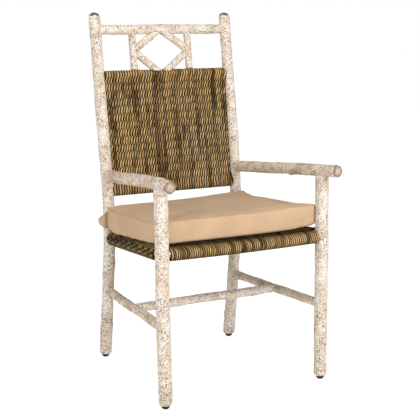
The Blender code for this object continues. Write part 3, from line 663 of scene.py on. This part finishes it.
class Weave:
    """Collects bent copies of tubes in one mesh, with the attributes that the rattan finish reads, painted
    shade among them.
    """

    def __init__(self, name):
        self.name = name
        self.builder = bmesh.new()
        self.layer = self.builder.verts.layers.float_vector.new("strand")
        self.behind = self.builder.verts.layers.float.new("behind")
        self.blanks = {}

    def add(self, stations, number, column, width, thickness, shade=0.0, flank=FLANK, sides=STRAND_SIDES):
        """Bend a tube along stations of (place, width direction, outward direction, swing to the front)."""
        rings = len(stations) - 1
        if (sides, rings) not in self.blanks:
            self.blanks[sides, rings] = tube_blank(sides, rings)
        blank = self.blanks[sides, rings]
        self.builder.from_mesh(blank)
        self.builder.verts.ensure_lookup_table()
        places = [station[0] for station in stations]
        lengths = [0.0]
        for first, second in zip(places, places[1:]):
            lengths.append(lengths[-1] + (second - first).length)
        for vert in self.builder.verts[-len(blank.vertices):]:
            ring = round(vert.co.z)
            place, beside, outward, swing = stations[ring]
            # The inward side of a strand is made wider and painted with shade; the shade argument darkens a
            # whole strand, as painted shade on side rolls and linings and as darker canes elsewhere.
            inner = 0.5 - 0.5 * swing * vert.co.y if flank else 0.0
            vert[self.layer] = (number, lengths[ring], column)
            vert[self.behind] = max(shade, inner)
            breadth = width * (1 + flank * inner)
            vert.co = place + beside * (breadth * vert.co.x) + outward * (thickness * vert.co.y)

    def finish(self, *nodes):
        bmesh.ops.recalc_face_normals(self.builder, faces=self.builder.faces)
        mesh = bpy.data.meshes.new(self.name)
        self.builder.to_mesh(mesh)
        self.builder.free()
        for blank in self.blanks.values():
            bpy.data.meshes.remove(blank)
        mesh.calc_loop_triangles()
        print(self.name, "triangles:", len(mesh.loop_triangles))
        add_piece(self.name, mesh, rattan, "rattan", *nodes)


def add_lining(weave, start, end, radius, sag=0.0):
    """Line a roll with the inner turns that show between its strands, painted fully in shade."""
    run = (end - start).normalized()
    over = run.cross(ACROSS if abs(run.x) < 0.5 else UP).normalized()
    stations = []
    for step in range(LINING_STEPS + 1):
        share = step / LINING_STEPS
        place = start.lerp(end, share) - UP * (sag * 4 * share * (1 - share))
        stations.append((place, over, run.cross(over), 0.0))
    # shade=1.0: the whole lining is painted shade.
    weave.add(stations, 0.5, 0.0, radius, radius, shade=1.0, flank=0.0, sides=LINING_SIDES)


def box_middle(node):
    low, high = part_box(node)
    return (low + high) / 2


print("weave helpers ready")

# %% Routes of the back's strands
BACK_PAIRS = 48
BACK_STAKES = 15
BACK_ROLL = 15 * MM
BACK_PLANE = 5.5 * MM
ROLL_REACH = 34 * MM
BACK_LINING = 12.2 * MM
BACK_SWING = 2.3 * MM
BUNDLE_DRIFT = 2.0 * MM
STRAND_DRIFT = 0.5 * MM
BACK_COLUMN = 8.5 * MM
PAIR_STEP = 1.9 * MM
PAIR_OFFSET = 2.1 * MM
STRAND_WIDTH = 2.6 * MM
STRAND_THICKNESS = 1.4 * MM
STAKE_HEIGHT = 2.0 * MM
STAKE_THICKNESS = 0.9 * MM
TUCK = math.radians(236)
TUCK_STEPS = 13
STEPS_PER_STAKE = 4
EDGE_GAP = 1.5 * MM
SPINDLE_BUMP = 7 * MM
SPINDLE_REACH = 15 * MM
BUMP_RISE = 14 * MM
BUMP_HEIGHT = 9 * MM
DARK_COLUMNS = ((0.40, 0.04, 0.20), (0.58, 0.02, 0.14), (0.80, 0.02, 0.14), (0.89, 0.02, 0.10))

lower_rod, upper_rod = box_middle("back_bottom_rod"), box_middle("back_top_rod")
panel_up = (upper_rod - lower_rod) * Vector((0, 1, 1))
panel_up.normalize()
panel_front = Vector((0, -panel_up.z, panel_up.y))
panel_height = (upper_rod - lower_rod).length
spindle_places = [box_middle(f"spindle_{label}").x for label in ("left", "right")]


def back_width(place):
    """Return the free span between the round rear posts at a place's height and depth."""
    edges = []
    for axis, inward in zip(rear_axes, (1, -1)):
        along = axis.at_height(place.z)
        centre = axis.place(along)
        reach = axis.radius(along) + EDGE_GAP
        chord = math.sqrt(max(0.75 * reach ** 2, reach ** 2 - (place.y - centre.y) ** 2))
        edges.append(centre.x + inward * chord)
    return edges


def bent_place(hub, turn, radius):
    """Return a place on a roll round a rod and the outward direction there."""
    outward = panel_front * math.cos(turn) + panel_up * math.sin(turn)
    return Vector((0, hub.y, hub.z)) + outward * radius, outward


def pair_step(wave, offset=PAIR_OFFSET):
    """Return the side step of a strand that crosses its twin from front to back."""
    return -PAIR_STEP * math.sin(wave) - offset * math.cos(wave)


def back_route(twin):
    """Return the place, outward direction, side step and swing at each ring of a strand."""
    steps = BACK_STAKES * STEPS_PER_STAKE
    first, last = math.pi * twin, math.pi * (BACK_STAKES + twin)
    roll, rest = BACK_ROLL + ROLL_STEP * (1 - 2 * twin), ROLL_SWING[twin]
    route = []
    for step in range(TUCK_STEPS):
        turn = -TUCK * (1 - step / TUCK_STEPS)
        route.append((*bent_place(lower_rod, turn, roll), pair_step(first), rest))
    for step in range(steps + 1):
        rise = step / steps
        wave = math.pi * (rise * BACK_STAKES + twin)
        near_rod = min(1.0, min(rise, 1 - rise) * panel_height / ROLL_REACH)
        depth = roll + (BACK_PLANE - roll + BACK_SWING * math.sin(wave)) * near_rod
        hub = lower_rod.lerp(upper_rod, rise)
        place = Vector((0, hub.y, hub.z)) + panel_front * depth
        swing = rest + (front_share(wave) - rest) * min(1.0, 2 * near_rod)
        route.append((place, panel_front, pair_step(wave), swing))
    for step in range(TUCK_STEPS):
        turn = TUCK * (step + 1) / TUCK_STEPS
        route.append((*bent_place(upper_rod, turn, roll), pair_step(last), rest))
    return route


def spindle_climb(place, outward):
    """Return how far a strand climbs the foot of a spindle that it passes."""
    near = min(abs(place.x - spindle) for spindle in spindle_places)
    beside = max(0.0, 1 - (near / SPINDLE_REACH) ** 2)
    above = max(0.0, 1 - abs(place.z - upper_rod.z - BUMP_RISE) / BUMP_HEIGHT)
    return SPINDLE_BUMP * beside * above * max(0.0, outward.dot(panel_front) + 0.3)


def back_strand(index, twin):
    """Return the stations of one strand of a pair."""
    share = (index + 0.5) / BACK_PAIRS
    stations = []
    for step, (place, outward, aside, swing) in enumerate(back_route(twin)):
        left, right = back_width(place)
        drift = noise.noise(Vector((share * 14, place.z * 16, 5.0))) * BUNDLE_DRIFT
        drift += noise.noise(Vector((index * 7.7 + twin, step * 0.21, 3.0))) * STRAND_DRIFT
        place.x = left + (right - left) * share + aside + drift * min(1.0, 12 * share, 12 * (1 - share))
        place.z += spindle_climb(place, outward)
        stations.append((place, ACROSS, outward, swing))
    return stations


def column_shade(share):
    """Return how dark the strands are at a share of the panel's width."""
    return max(max(0.0, 1 - ((share - middle) / half) ** 2) * depth for middle, half, depth in DARK_COLUMNS)


print("back panel:", round(panel_height, 3), "m between its rods")

# %% Weave the back
lot = random.Random(17)
back_weave = Weave("back_strands")
for index in range(BACK_PAIRS):
    shade = column_shade((index + 0.5) / BACK_PAIRS)
    for twin in (0, 1):
        back_weave.add(back_strand(index, twin), lot.random(), index * BACK_COLUMN,
                       STRAND_WIDTH * lot.uniform(0.9, 1.08), STRAND_THICKNESS, shade * lot.uniform(0.6, 1.1))
for rod in (lower_rod, upper_rod):
    left, right = back_width(rod)
    add_lining(back_weave, Vector((left, rod.y, rod.z)), Vector((right, rod.y, rod.z)), BACK_LINING)
back_weave.finish("back_weave")

stakes = Weave("back_stakes")
for index in range(BACK_STAKES):
    hub = lower_rod.lerp(upper_rod, (index + 0.5) / BACK_STAKES) + panel_front * BACK_PLANE
    left, right = back_width(hub)
    shade = lot.choice((0.0, 0.2, 0.5, 0.7))
    line = [(Vector((left + (right - left) * step / 24, hub.y, hub.z)), panel_up, panel_front, 0.0)
            for step in range(25)]
    stakes.add(line, lot.random(), 3.0 + hub.z, STAKE_HEIGHT, STAKE_THICKNESS, shade, 0.0)
stakes.finish()

# %% [markdown]
# ## The woven seat
# The seat's pairs run from front to back and turn down over the front and rear rods, where they lie close
# together. Along the sides the woven sheet itself rolls over the rods: strands lie along the roll, and the
# stakes go round it. A few more pairs lie flat beside each roll and close the sheet up to it.

# %% Routes of the seat's strands
SEAT_PAIRS = 70
SIDE_PAIRS = 12
FLAT_PAIRS = 3
SEAT_STAKES = 17
STAKE_STEPS = 20
SEAT_COLUMN = 5.0 * MM
SIDE_DRIFT = 1.2 * MM
SEAT_LINING = 16 * MM
FRONT_LEAN = 13 * MM
SEAT_ROLL = 18.4 * MM
SEAT_DIP = 1.6 * MM
FLAT_STEPS_PER_STAKE = 4
SEAT_SWING = 2.3 * MM
SEAT_STRAND_WIDTH = 2.0 * MM
SEAT_STRAND_THICKNESS = 1.4 * MM
SEAT_STAKE_RADIUS = 1.4 * MM
DARK_EVERY = 7
SEAT_BOW = 2.5 * MM
CORNER = 26.5 * MM

front_rod, rear_rod = (box_middle(f"seat_{label}_rod") - UP * SEAT_DIP for label in ("front", "rear"))
side_rods = [Axis(f"seat_{label}_rod") for label in ("left", "right")]
seat_run = Vector((0, rear_rod.y - front_rod.y, rear_rod.z - front_rod.z))
seat_back = seat_run.normalized()
seat_up = Vector((0, -seat_back.z, seat_back.y))
front_axes = [Axis(f"front_post_{label}") for label in ("left", "right")]


def side_hub(side, depth):
    """Return the axis of a side rod at a share of the seat's depth."""
    rod = side_rods[side]
    start, end = rod.place(0.3 * rod.length), rod.place(0.7 * rod.length)
    slope = (end - start) / (end.y - start.y)
    hub = start + slope * (front_rod.y + seat_run.y * depth - start.y)
    hub.z = front_rod.z + seat_run.z * depth
    return hub


def post_face(axes, side, height):
    """Return the inner face of a post at the seat's height."""
    along = axes[side].at_height(height)
    inward = 1 if side == 0 else -1
    return axes[side].place(along).x + inward * (axes[side].radius(along) + EDGE_GAP)


front_edges = [post_face(front_axes, side, front_rod.z) for side in (0, 1)]
rear_edges = [post_face(rear_axes, side, rear_rod.z) for side in (0, 1)]
first_depth = CORNER / seat_run.length
last_depth = 1 - first_depth


def seat_bow(across, depth):
    """Return how far the front of the seat bends down at a share of its width and depth."""
    return SEAT_BOW * 4 * across * (1 - across) * (1 - depth)


def stake_wave(depth, twin):
    """Return the phase of a strand at a share of the seat's depth: half a turn for each stake."""
    share = (depth - first_depth) / (last_depth - first_depth)
    return math.pi * (min(max(share, 0.0), 1.0) * SEAT_STAKES + twin)


def roll_lean(turn):
    """Return how far a strand leans sideways on a roll: most at its top, none on its face."""
    return FRONT_LEAN * (math.sin(min(turn, math.pi / 2)) - 1)


def roll_light(turn):
    """Return how much of a strand's outer face stays out of the painted shade on a roll: all of it on the
    roll's face, less on its top under the cushion and on its underside.
    """
    return 0.45 + 0.55 * max(0.0, math.sin(turn))


def seat_strand(pair, twin):
    """Return the stations of a strand from under the front rod to under the rear rod."""
    share = (pair + 0.5) / SEAT_PAIRS
    front_x, rear_x = (left + (right - left) * share for left, right in (front_edges, rear_edges))
    front_offset, rear_offset = ((right - left) / SEAT_PAIRS / 4 for left, right in (front_edges, rear_edges))
    roll, rest = SEAT_ROLL + ROLL_STEP * (1 - 2 * twin), ROLL_SWING[twin]
    stations = []
    for step in range(TUCK_STEPS):
        turn = TUCK * (1 - step / TUCK_STEPS)
        outward = seat_up * math.cos(turn) - seat_back * math.sin(turn)
        aside = roll_lean(turn) + pair_step(stake_wave(0.0, twin), front_offset)
        place = Vector((front_x + aside, front_rod.y, front_rod.z)) + outward * roll
        place.z -= seat_bow(share, 0.0)
        stations.append((place, ACROSS, outward, rest * roll_light(turn)))
    steps = SEAT_STAKES * FLAT_STEPS_PER_STAKE
    for step in range(steps + 1):
        depth = step / steps
        wave = stake_wave(depth, twin)
        near_rod = min(1.0, depth / first_depth, (1 - depth) / first_depth)
        aside = pair_step(wave, front_offset + (rear_offset - front_offset) * depth)
        aside += roll_lean(0.0) * (1 - near_rod)
        place = Vector((front_x + (rear_x - front_x) * depth + aside, front_rod.y, front_rod.z))
        place += seat_run * depth
        place += seat_up * (roll + (SEAT_ROLL - roll + SEAT_SWING * math.sin(wave)) * near_rod)
        place.z -= seat_bow(share, depth)
        # Painted shade: the flat seat beside a rod lies under the cushion and keeps the darkest share.
        swing = rest * roll_light(0.0)
        stations.append((place, ACROSS, seat_up, swing + (front_share(wave) - swing) * near_rod))
    for step in range(TUCK_STEPS):
        turn = TUCK * (step + 1) / TUCK_STEPS
        outward = seat_up * math.cos(turn) + seat_back * math.sin(turn)
        aside = roll_lean(turn) + pair_step(stake_wave(1.0, twin), rear_offset)
        place = Vector((rear_x + aside, rear_rod.y, rear_rod.z)) + outward * roll
        stations.append((place, ACROSS, outward, rest * roll_light(turn)))
    for step, (place, beside, outward, swing) in enumerate(stations):
        place.x += noise.noise(Vector((pair * 5.3 + twin, step * 0.25, 8.0))) * STRAND_DRIFT
        on_front, on_rear = step < TUCK_STEPS, step > steps + TUCK_STEPS
        if on_front or on_rear:
            left, right = front_edges if on_front else rear_edges
            place.x = min(max(place.x, left), right)
    return stations


def side_strand(side, turn, twin):
    """Return the stations of one strand along a side roll, or beside it on the seat for a turn below 0."""
    sign = -1 if side == 0 else 1
    stations = []
    steps = SEAT_STAKES * STEPS_PER_STAKE
    for step in range(steps + 1):
        depth = first_depth + (last_depth - first_depth) * step / steps
        wave = stake_wave(depth, twin)
        aside = pair_step(wave) + noise.noise(Vector((turn * 5.0, depth * 24.0, side * 9.0))) * SIDE_DRIFT
        angle = max(0.0, turn + aside / SEAT_ROLL)
        inside = ACROSS * (sign * min(0.0, turn * SEAT_ROLL + aside))
        outward = seat_up * math.cos(angle) + ACROSS * (sign * math.sin(angle))
        beside = seat_up * -math.sin(angle) + ACROSS * (sign * math.cos(angle))
        place = side_hub(side, depth) + inside + outward * (SEAT_ROLL + SEAT_SWING * math.sin(wave))
        stations.append((place, beside, outward, front_share(wave)))
    return stations


print("seat:", round(seat_run.length, 3), "m between its rods")

# %% Weave the seat
seat_weave = Weave("seat_strands")
for pair in range(SEAT_PAIRS):
    is_dark = (pair + lot.randrange(2)) % DARK_EVERY == 0 or lot.random() < 0.08
    shade = lot.uniform(0.08, 0.2) if is_dark else 0.0
    for twin in (0, 1):
        seat_weave.add(seat_strand(pair, twin), lot.random(), pair * SEAT_COLUMN,
                       SEAT_STRAND_WIDTH * lot.uniform(0.9, 1.1), SEAT_STRAND_THICKNESS, shade)
for rod, edges, sag in ((front_rod, front_edges, SEAT_BOW), (rear_rod, rear_edges, 0.0)):
    ends = [Vector((edge, rod.y, rod.z)) for edge in edges]
    add_lining(seat_weave, *ends, SEAT_LINING, sag)
seat_weave.finish("seat_weave")

# %% Weave the side rolls
sides = Weave("seat_side_strands")
for side in (0, 1):
    for index in range(-FLAT_PAIRS, SIDE_PAIRS):
        turn = TUCK * (index + 0.5) / SIDE_PAIRS
        for twin in (0, 1):
            # Painted shade: the strands of the side rolls are darkened all along.
            sides.add(side_strand(side, turn, twin), lot.random(), index * SEAT_COLUMN + side,
                      STRAND_WIDTH, SEAT_STRAND_THICKNESS, lot.uniform(0.09, 0.26))
    add_lining(sides, side_hub(side, first_depth), side_hub(side, last_depth), SEAT_LINING)
sides.finish()

# %% Lay the seat's stakes
seat_stakes = Weave("seat_stakes")
for index in range(SEAT_STAKES):
    depth = first_depth + (last_depth - first_depth) * (index + 0.5) / SEAT_STAKES
    left, right = side_hub(0, depth), side_hub(1, depth)
    line = []
    for step in range(TUCK_STEPS):
        turn = TUCK * (1 - step / TUCK_STEPS)
        outward = seat_up * math.cos(turn) - ACROSS * math.sin(turn)
        line.append((left + outward * SEAT_ROLL, seat_back, outward, 0.0))
    for step in range(STAKE_STEPS + 1):
        place = left.lerp(right, step / STAKE_STEPS) + seat_up * SEAT_ROLL
        place.z -= seat_bow(step / STAKE_STEPS, depth)
        line.append((place, seat_back, seat_up, 0.0))
    for step in range(TUCK_STEPS):
        turn = TUCK * (step + 1) / TUCK_STEPS
        outward = seat_up * math.cos(turn) + ACROSS * math.sin(turn)
        line.append((right + outward * SEAT_ROLL, seat_back, outward, 0.0))
    seat_stakes.add(line, lot.random(), depth, SEAT_STAKE_RADIUS, SEAT_STAKE_RADIUS, 0.4, 0.0)
seat_stakes.finish()

# %% [markdown]
# ## Tan cloth
# The cushion's cover is a plain cloth with a fine weave. Two waves in the object's own coordinates make its
# threads, a little noise makes them uneven, and a distance to the seams, kept as an attribute, draws the
# sewn lines. A second attribute, shade, paints shade where the cover meets a front post and where a tie
# goes in behind the cushion.

# %% Cloth material
CLOTH_TAN = (0.61, 0.425, 0.268)
CLOTH_DEEP = (0.53, 0.355, 0.213)
SEAM_SHADE = (0.30, 0.19, 0.11)
THREAD = 5200.0
THREAD_SHARE = 0.33

cloth = Finish("tan_cloth")
cloth_place = cloth.node("ShaderNodeTexCoord", {}, {}, "Object")
axes = [cloth.node("ShaderNodeSeparateXYZ", {}, {0: cloth_place}, name) for name in "XYZ"]
waves = [(axis * THREAD).wave() * THREAD_SHARE for axis in axes]
threads = waves[0] + waves[1] + waves[2]
slub = cloth.grain(cloth.stretch(cloth_place, (60.0, 60.0, 900.0)), 1.0, 2.0)
slub_across = cloth.grain(cloth.stretch(cloth_place, (900.0, 900.0, 60.0)), 1.0, 2.0)
soft = cloth.grain(cloth_place, 14.0, 3.0)
seam = 1 - cloth.attribute("seam", "Fac").ease(0.0006, 0.0022)
colour = cloth.mix((soft * 0.5 + slub * 0.3 + slub_across * 0.3).ease(0.35, 0.75), CLOTH_TAN, CLOTH_DEEP)
colour = cloth.mix(seam * 0.45, colour, SEAM_SHADE)
# Painted shade: next to the front posts and on the ties behind the cushion.
colour = cloth.mix(cloth.attribute("shade", "Fac"), colour, SEAM_SHADE)
cloth.set(Base_Color=colour, Roughness=0.93, Sheen_Weight=0.05, Specular_IOR_Level=0.15)
cloth.bump(threads * 0.5 + slub * 0.6 + slub_across * 0.6 - seam * 2.0, 0.35, 0.0006)
print("cloth nodes:", len(cloth.tree.nodes))

# %% [markdown]
# ## The cushion
# A box cushion could be a cube with rounded edges, but a stuffed cover swells between its seams. So a cube
# is bent into the sewn cover, a little slacker than the cushion, remeshed into small even cells and blown up
# by a cloth simulation for a few frames. How far a point may move is capped, and the underside is kept on
# the weave.

# %% Cut the cushion's cover and mark its seams
VOXEL = 5 * MM
RIM_SPACING = 2 * MM
FRONT_HALF, SHOULDER_HALF, REAR_HALF = 249 * MM, 263 * MM, 245 * MM
REAR_SHIFT = 8 * MM
FRONT_THICKNESS, REAR_THICKNESS = 64.5 * MM, 78 * MM
SHOULDER = 1 / 6
CHEEK = 1 / 5
SIDE_LEAN = 3.5 * MM
SIDE_DRAW = 2 * MM
SIDE_SAG = 12.5 * MM
SIDE_TUCK = 3 * MM
SEAM_LIFT = 3.4 * MM
CORNER_LIFT = 12 * MM
REAR_ROUND = 16 * MM
DENT = 6 * MM
COVER_CELLS = 12
REST_GAP = 0.4 * MM
cushion_front, cushion_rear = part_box("cushion")[0].y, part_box("cushion")[1].y
seat_top = (SEAT_ROLL + SEAT_SWING + SEAT_STRAND_THICKNESS + REST_GAP) / seat_up.z
seat_span = front_edges[1] - front_edges[0]


def seat_height(across, depth):
    """Return the height of the woven seat at a place from side to side and from front to back."""
    back = (depth - front_rod.y) / seat_run.y
    bow = seat_bow(min(max(across / seat_span + 0.5, 0.0), 1.0), back)
    return front_rod.z + seat_run.z * back + seat_top - bow


def cover_place(across, back, up):
    """Map a point of a cube from -1 to 1 onto the sewn cover, before it is filled."""
    share = (back + 1) / 2
    if share < SHOULDER:
        half = FRONT_HALF + (SHOULDER_HALF - FRONT_HALF) * share / SHOULDER
    else:
        half = SHOULDER_HALF + (REAR_HALF - SHOULDER_HALF) * (share - SHOULDER) / (1 - SHOULDER)
    depth = cushion_front + (cushion_rear - cushion_front) * share
    depth -= SIDE_DRAW * (1 - across ** 2) * back * abs(back)
    depth -= REAR_ROUND * (1 - 0.4 * across) * (across * max(0.0, back)) ** 8
    thickness = FRONT_THICKNESS + (REAR_THICKNESS - FRONT_THICKNESS) * share
    thickness += SIDE_LEAN * across * (1 + across) * (1 + 0.6 * share)
    side = across ** 4 * min(1.0, share / SHOULDER, (1 - share) / CHEEK)
    lower = SEAM_LIFT - SIDE_TUCK * side + CORNER_LIFT * max(0.0, -across * back) ** 5
    upper = SEAM_LIFT + thickness - SIDE_SAG * (1 + 0.28 * across) * side
    upper += DENT * noise.noise(Vector((2.2 * across, 2.0 * back, 4.0))) * (1 - across ** 4) * (1 - back ** 4)
    height = lower + (upper - lower) * (up + 1) / 2
    beside = across * half - REAR_SHIFT * share
    return Vector((beside, depth, seat_height(beside, depth) + height))


builder = bmesh.new()
bmesh.ops.create_cube(builder, size=2.0)
bmesh.ops.subdivide_edges(builder, edges=builder.edges, cuts=COVER_CELLS - 1, use_grid_fill=True)
seam_points = []
corner_points = []
for edge in builder.edges:
    if edge.calc_face_angle() > 1:
        level = abs(edge.verts[0].co.z + edge.verts[1].co.z) > 1.9
        ends = [cover_place(*vert.co) for vert in edge.verts]
        count = math.ceil((ends[1] - ends[0]).length / RIM_SPACING)
        points = [ends[0].lerp(ends[1], step / count) for step in range(count)]
        (seam_points if level else corner_points).extend(points)
for vert in builder.verts:
    vert.co = cover_place(*vert.co)
bmesh.ops.recalc_face_normals(builder, faces=builder.faces)
cushion_mesh = bpy.data.meshes.new("cushion_blank")
builder.to_mesh(cushion_mesh)
builder.free()
cushion = bpy.data.objects.new("cushion_blank", cushion_mesh)
bpy.context.scene.collection.objects.link(cushion)


def evaluated_mesh(piece):
    """Return a copy of a piece's mesh with its modifiers applied."""
    graph = bpy.context.evaluated_depsgraph_get()
    return bpy.data.meshes.new_from_object(piece.evaluated_get(graph))


cells = cushion.modifiers.new("cells", "REMESH")
cells.mode = "VOXEL"
cells.voxel_size = VOXEL
cushion_mesh = evaluated_mesh(cushion)
cushion.modifiers.clear()
cushion.data = cushion_mesh
print("seam points:", len(seam_points), "cells:", len(cushion_mesh.polygons))

# %% Blow up the cushion
PRESSURE = 4.0
FRAMES = 20
TOP_CAP = 6 * MM
SIDE_CAP = 3 * MM
SEAM_CAP = 1.5 * MM
CAP_REACH = 45 * MM


def nearest_tree(places):
    tree = kdtree.KDTree(len(places))
    for number, place in enumerate(places):
        tree.insert(place, number)
    tree.balance()
    return tree


def blow_up(piece, seams):
    """Swell a closed mesh by cloth pressure, most in the middle of its panels and least at its seams."""
    before = [(vert.co.copy(), abs(vert.normal.z)) for vert in piece.data.vertices]
    swell = piece.modifiers.new("swell", "CLOTH")
    swell.settings.use_pressure = True
    swell.settings.uniform_pressure_force = PRESSURE
    swell.settings.effector_weights.gravity = 0.0
    swell.point_cache.frame_start = 1
    swell.point_cache.frame_end = FRAMES
    for number in range(1, FRAMES + 1):
        bpy.context.scene.frame_set(number)
    swollen = evaluated_mesh(piece)
    piece.modifiers.clear()
    bpy.context.scene.frame_set(1)
    for vert, (start, level) in zip(swollen.vertices, before):
        share = min(1.0, seams.find(start)[2] / CAP_REACH)
        panel_cap = SIDE_CAP + (TOP_CAP - SIDE_CAP) * level
        cap = SEAM_CAP + (panel_cap - SEAM_CAP) * share
        step = vert.co - start
        if step.length > cap:
            vert.co = start + step * (cap / step.length)
    piece.data = swollen


blow_up(cushion, nearest_tree(seam_points + corner_points))
print("cushion swollen to", [round(value / MM) for value in cushion.dimensions], "mm")

# %% Settle the cushion on the weave and sew its seams
SEAM_REACH = 6 * MM
SEAM_DEPTH = 0.8 * MM
POST_ROOM = 1.4 * MM
POST_SHADE = 10 * MM
POST_DARK = 0.8


def settle(place):
    """Keep a point of the cushion above the woven seat and clear of the front posts."""
    place = Vector((place.x, place.y, max(place.z, seat_height(place.x, place.y))))
    for axis in front_axes:
        along = axis.at_height(place.z)
        away = (place - axis.place(along)) * Vector((1, 1, 0))
        room = axis.radius(along) + POST_ROOM
        if away.length < room:
            place += away * (room / away.length - 1)
    return place


def painted_post_shade(place):
    """Return the painted shade on the cloth next to a front post, where the post's shadow falls."""
    gaps = []
    for axis in front_axes:
        along = axis.at_height(place.z)
        gaps.append(((place - axis.place(along)) * Vector((1, 1, 0))).length - axis.radius(along))
    return POST_DARK * max(0.0, 1 - min(gaps) / POST_SHADE) ** 2


cushion_mesh = cushion.data
cushion_mesh.name = "seat_cushion"
bpy.data.objects.remove(cushion)
for vert in cushion_mesh.vertices:
    vert.co = settle(vert.co)
surface = BVHTree.FromPolygons([vert.co for vert in cushion_mesh.vertices],
                               [list(face.vertices) for face in cushion_mesh.polygons])
sewn = nearest_tree([surface.find_nearest(settle(place))[0] for place in seam_points])
seam_field = cushion_mesh.attributes.new("seam", "FLOAT", "POINT")
distances = [sewn.find(vert.co)[2] for vert in cushion_mesh.vertices]
seam_field.data.foreach_set("value", distances)
shade_field = cushion_mesh.attributes.new("shade", "FLOAT", "POINT")
shade_field.data.foreach_set("value", [painted_post_shade(vert.co) for vert in cushion_mesh.vertices])
inward = [vert.normal * -SEAM_DEPTH * max(0.0, 1 - distance / SEAM_REACH)
          for vert, distance in zip(cushion_mesh.vertices, distances)]
for vert, step in zip(cushion_mesh.vertices, inward):
    vert.co += step
cushion = add_piece("seat_cushion", cushion_mesh, cloth, "cushion_fabric", "cushion")
softness = cushion.modifiers.new("softness", "SUBSURF")
softness.levels = 1
softness.render_levels = 1
print("cushion box:", [round(value / MM) for value in cushion.dimensions], "mm")

# %% [markdown]
# ## The ties
# A flat loop of the same cloth goes round each rear post and holds the cushion. It is a band with a hem, not
# a padded form, so it is bent directly: a circle is extruded upwards and given its thickness.

# %% Ties
TIE_WIDTH = 54 * MM
TIE_POINTS = 48
TIE_ROWS = 6
TIE_THICKNESS = 2 * MM
TIE_POINT = 14 * MM
TIE_DROOP = 28 * MM
TIE_LIFT = 16 * MM
TIE_ROOM = 1.6 * MM
TIE_SHADOW = 4 * MM
TIE_DARK = 0.8
TIE_INNER = 243 * MM
TIE_FOLD = Vector((0.88, 0.47))
for side, label in enumerate(("left", "right")):
    low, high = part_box(f"cushion_tie_{label}")
    sign = -1 if side == 0 else 1
    axis = rear_axes[side]
    along = axis.at_height((low.z + high.z) / 2)
    centre, radius = axis.place(along), axis.radius(along) + TIE_ROOM
    builder = bmesh.new()
    bmesh.ops.create_circle(builder, segments=TIE_POINTS, radius=1.0)
    rim = builder.edges[:]
    for row in range(TIE_ROWS):
        raised = bmesh.ops.extrude_edge_only(builder, edges=rim)["geom"]
        rim = [item for item in raised if isinstance(item, bmesh.types.BMEdge)]
        bmesh.ops.translate(builder, vec=(0, 0, 1 / TIE_ROWS),
                            verts=[item for item in raised if isinstance(item, bmesh.types.BMVert)])
    for vert in builder.verts:
        rise = vert.co.z
        outward = max(0.0, vert.co.x * TIE_FOLD.x + vert.co.y * TIE_FOLD.y) ** 2
        reach = radius + TIE_POINT * outward ** 2
        lower = high.z - TIE_WIDTH + TIE_LIFT * outward ** 3
        upper = high.z - TIE_DROOP * outward
        height = lower + (upper - lower) * rise
        vert.co = Vector((centre.x + sign * reach * vert.co.x, centre.y + reach * vert.co.y, height))
    bmesh.ops.recalc_face_normals(builder, faces=builder.faces)
    mesh = bpy.data.meshes.new(f"tie_{label}")
    builder.to_mesh(mesh)
    builder.free()
    seam_field = mesh.attributes.new("seam", "FLOAT", "POINT")
    seam_field.data.foreach_set("value", [1.0] * len(mesh.vertices))
    # Painted shadow: the tie is darkened where it goes in behind the cushion's corner.
    shade_field = mesh.attributes.new("shade", "FLOAT", "POINT")
    beyond = [min(1.0, max(0.0, (abs(vert.co.x) - TIE_INNER) / TIE_SHADOW)) for vert in mesh.vertices]
    shade_field.data.foreach_set("value", [TIE_DARK * (1 - share) for share in beyond])
    tie = add_piece(f"tie_{label}", mesh, cloth, "cushion_fabric", f"cushion_tie_{label}")
    band = tie.modifiers.new("band", "SOLIDIFY")
    band.thickness = TIE_THICKNESS
    band.offset = 1.0
print("ties:", 2)

# %% [markdown]
# ## Glides
# A black plastic button under each foot keeps the pole's end off the floor. It could be turned from a
# profile, but a ball that is squashed below and cut flat twice has the same round edge in fewer steps.

# %% Glides
GLIDE_RADIUS = 12.5 * MM
GLIDE_MIDDLE = 9.5 * MM
GLIDE_TOP = 11.9 * MM
GLIDE_DEPTH = 10.3 * MM

plastic = Finish("black_plastic")
scuff = plastic.grain(plastic.node("ShaderNodeTexCoord", {}, {}, "Object"), 320.0, 3.0)
plastic.set(Base_Color=plastic.mix(scuff.ease(0.55, 0.8), (0.008, 0.008, 0.008), (0.03, 0.028, 0.026)),
            Roughness=0.45 + scuff * 0.25, Specular_IOR_Level=0.2)
plastic.bump(scuff, 0.2, 0.0003)
for label in ("front_left", "front_right", "rear_left", "rear_right"):
    foot = box_middle(f"glide_{label}")
    builder = bmesh.new()
    bmesh.ops.create_uvsphere(builder, u_segments=32, v_segments=24, radius=1.0)
    for vert in builder.verts:
        reach = GLIDE_RADIUS if vert.co.z > 0 else GLIDE_DEPTH
        squashed = vert.co * Vector((GLIDE_RADIUS, GLIDE_RADIUS, reach))
        vert.co = Vector((foot.x, foot.y, GLIDE_MIDDLE)) + squashed
    cut_flat(builder, Vector((0, 0, GLIDE_TOP)), UP)
    cut_flat(builder, Vector((0, 0, 0)), -UP)
    mesh = bpy.data.meshes.new(f"button_{label}")
    builder.to_mesh(mesh)
    builder.free()
    add_piece(f"button_{label}", mesh, plastic, "glide", f"glide_{label}")
print("glides:", 4, "buttons", round(GLIDE_TOP / MM, 1), "mm high")
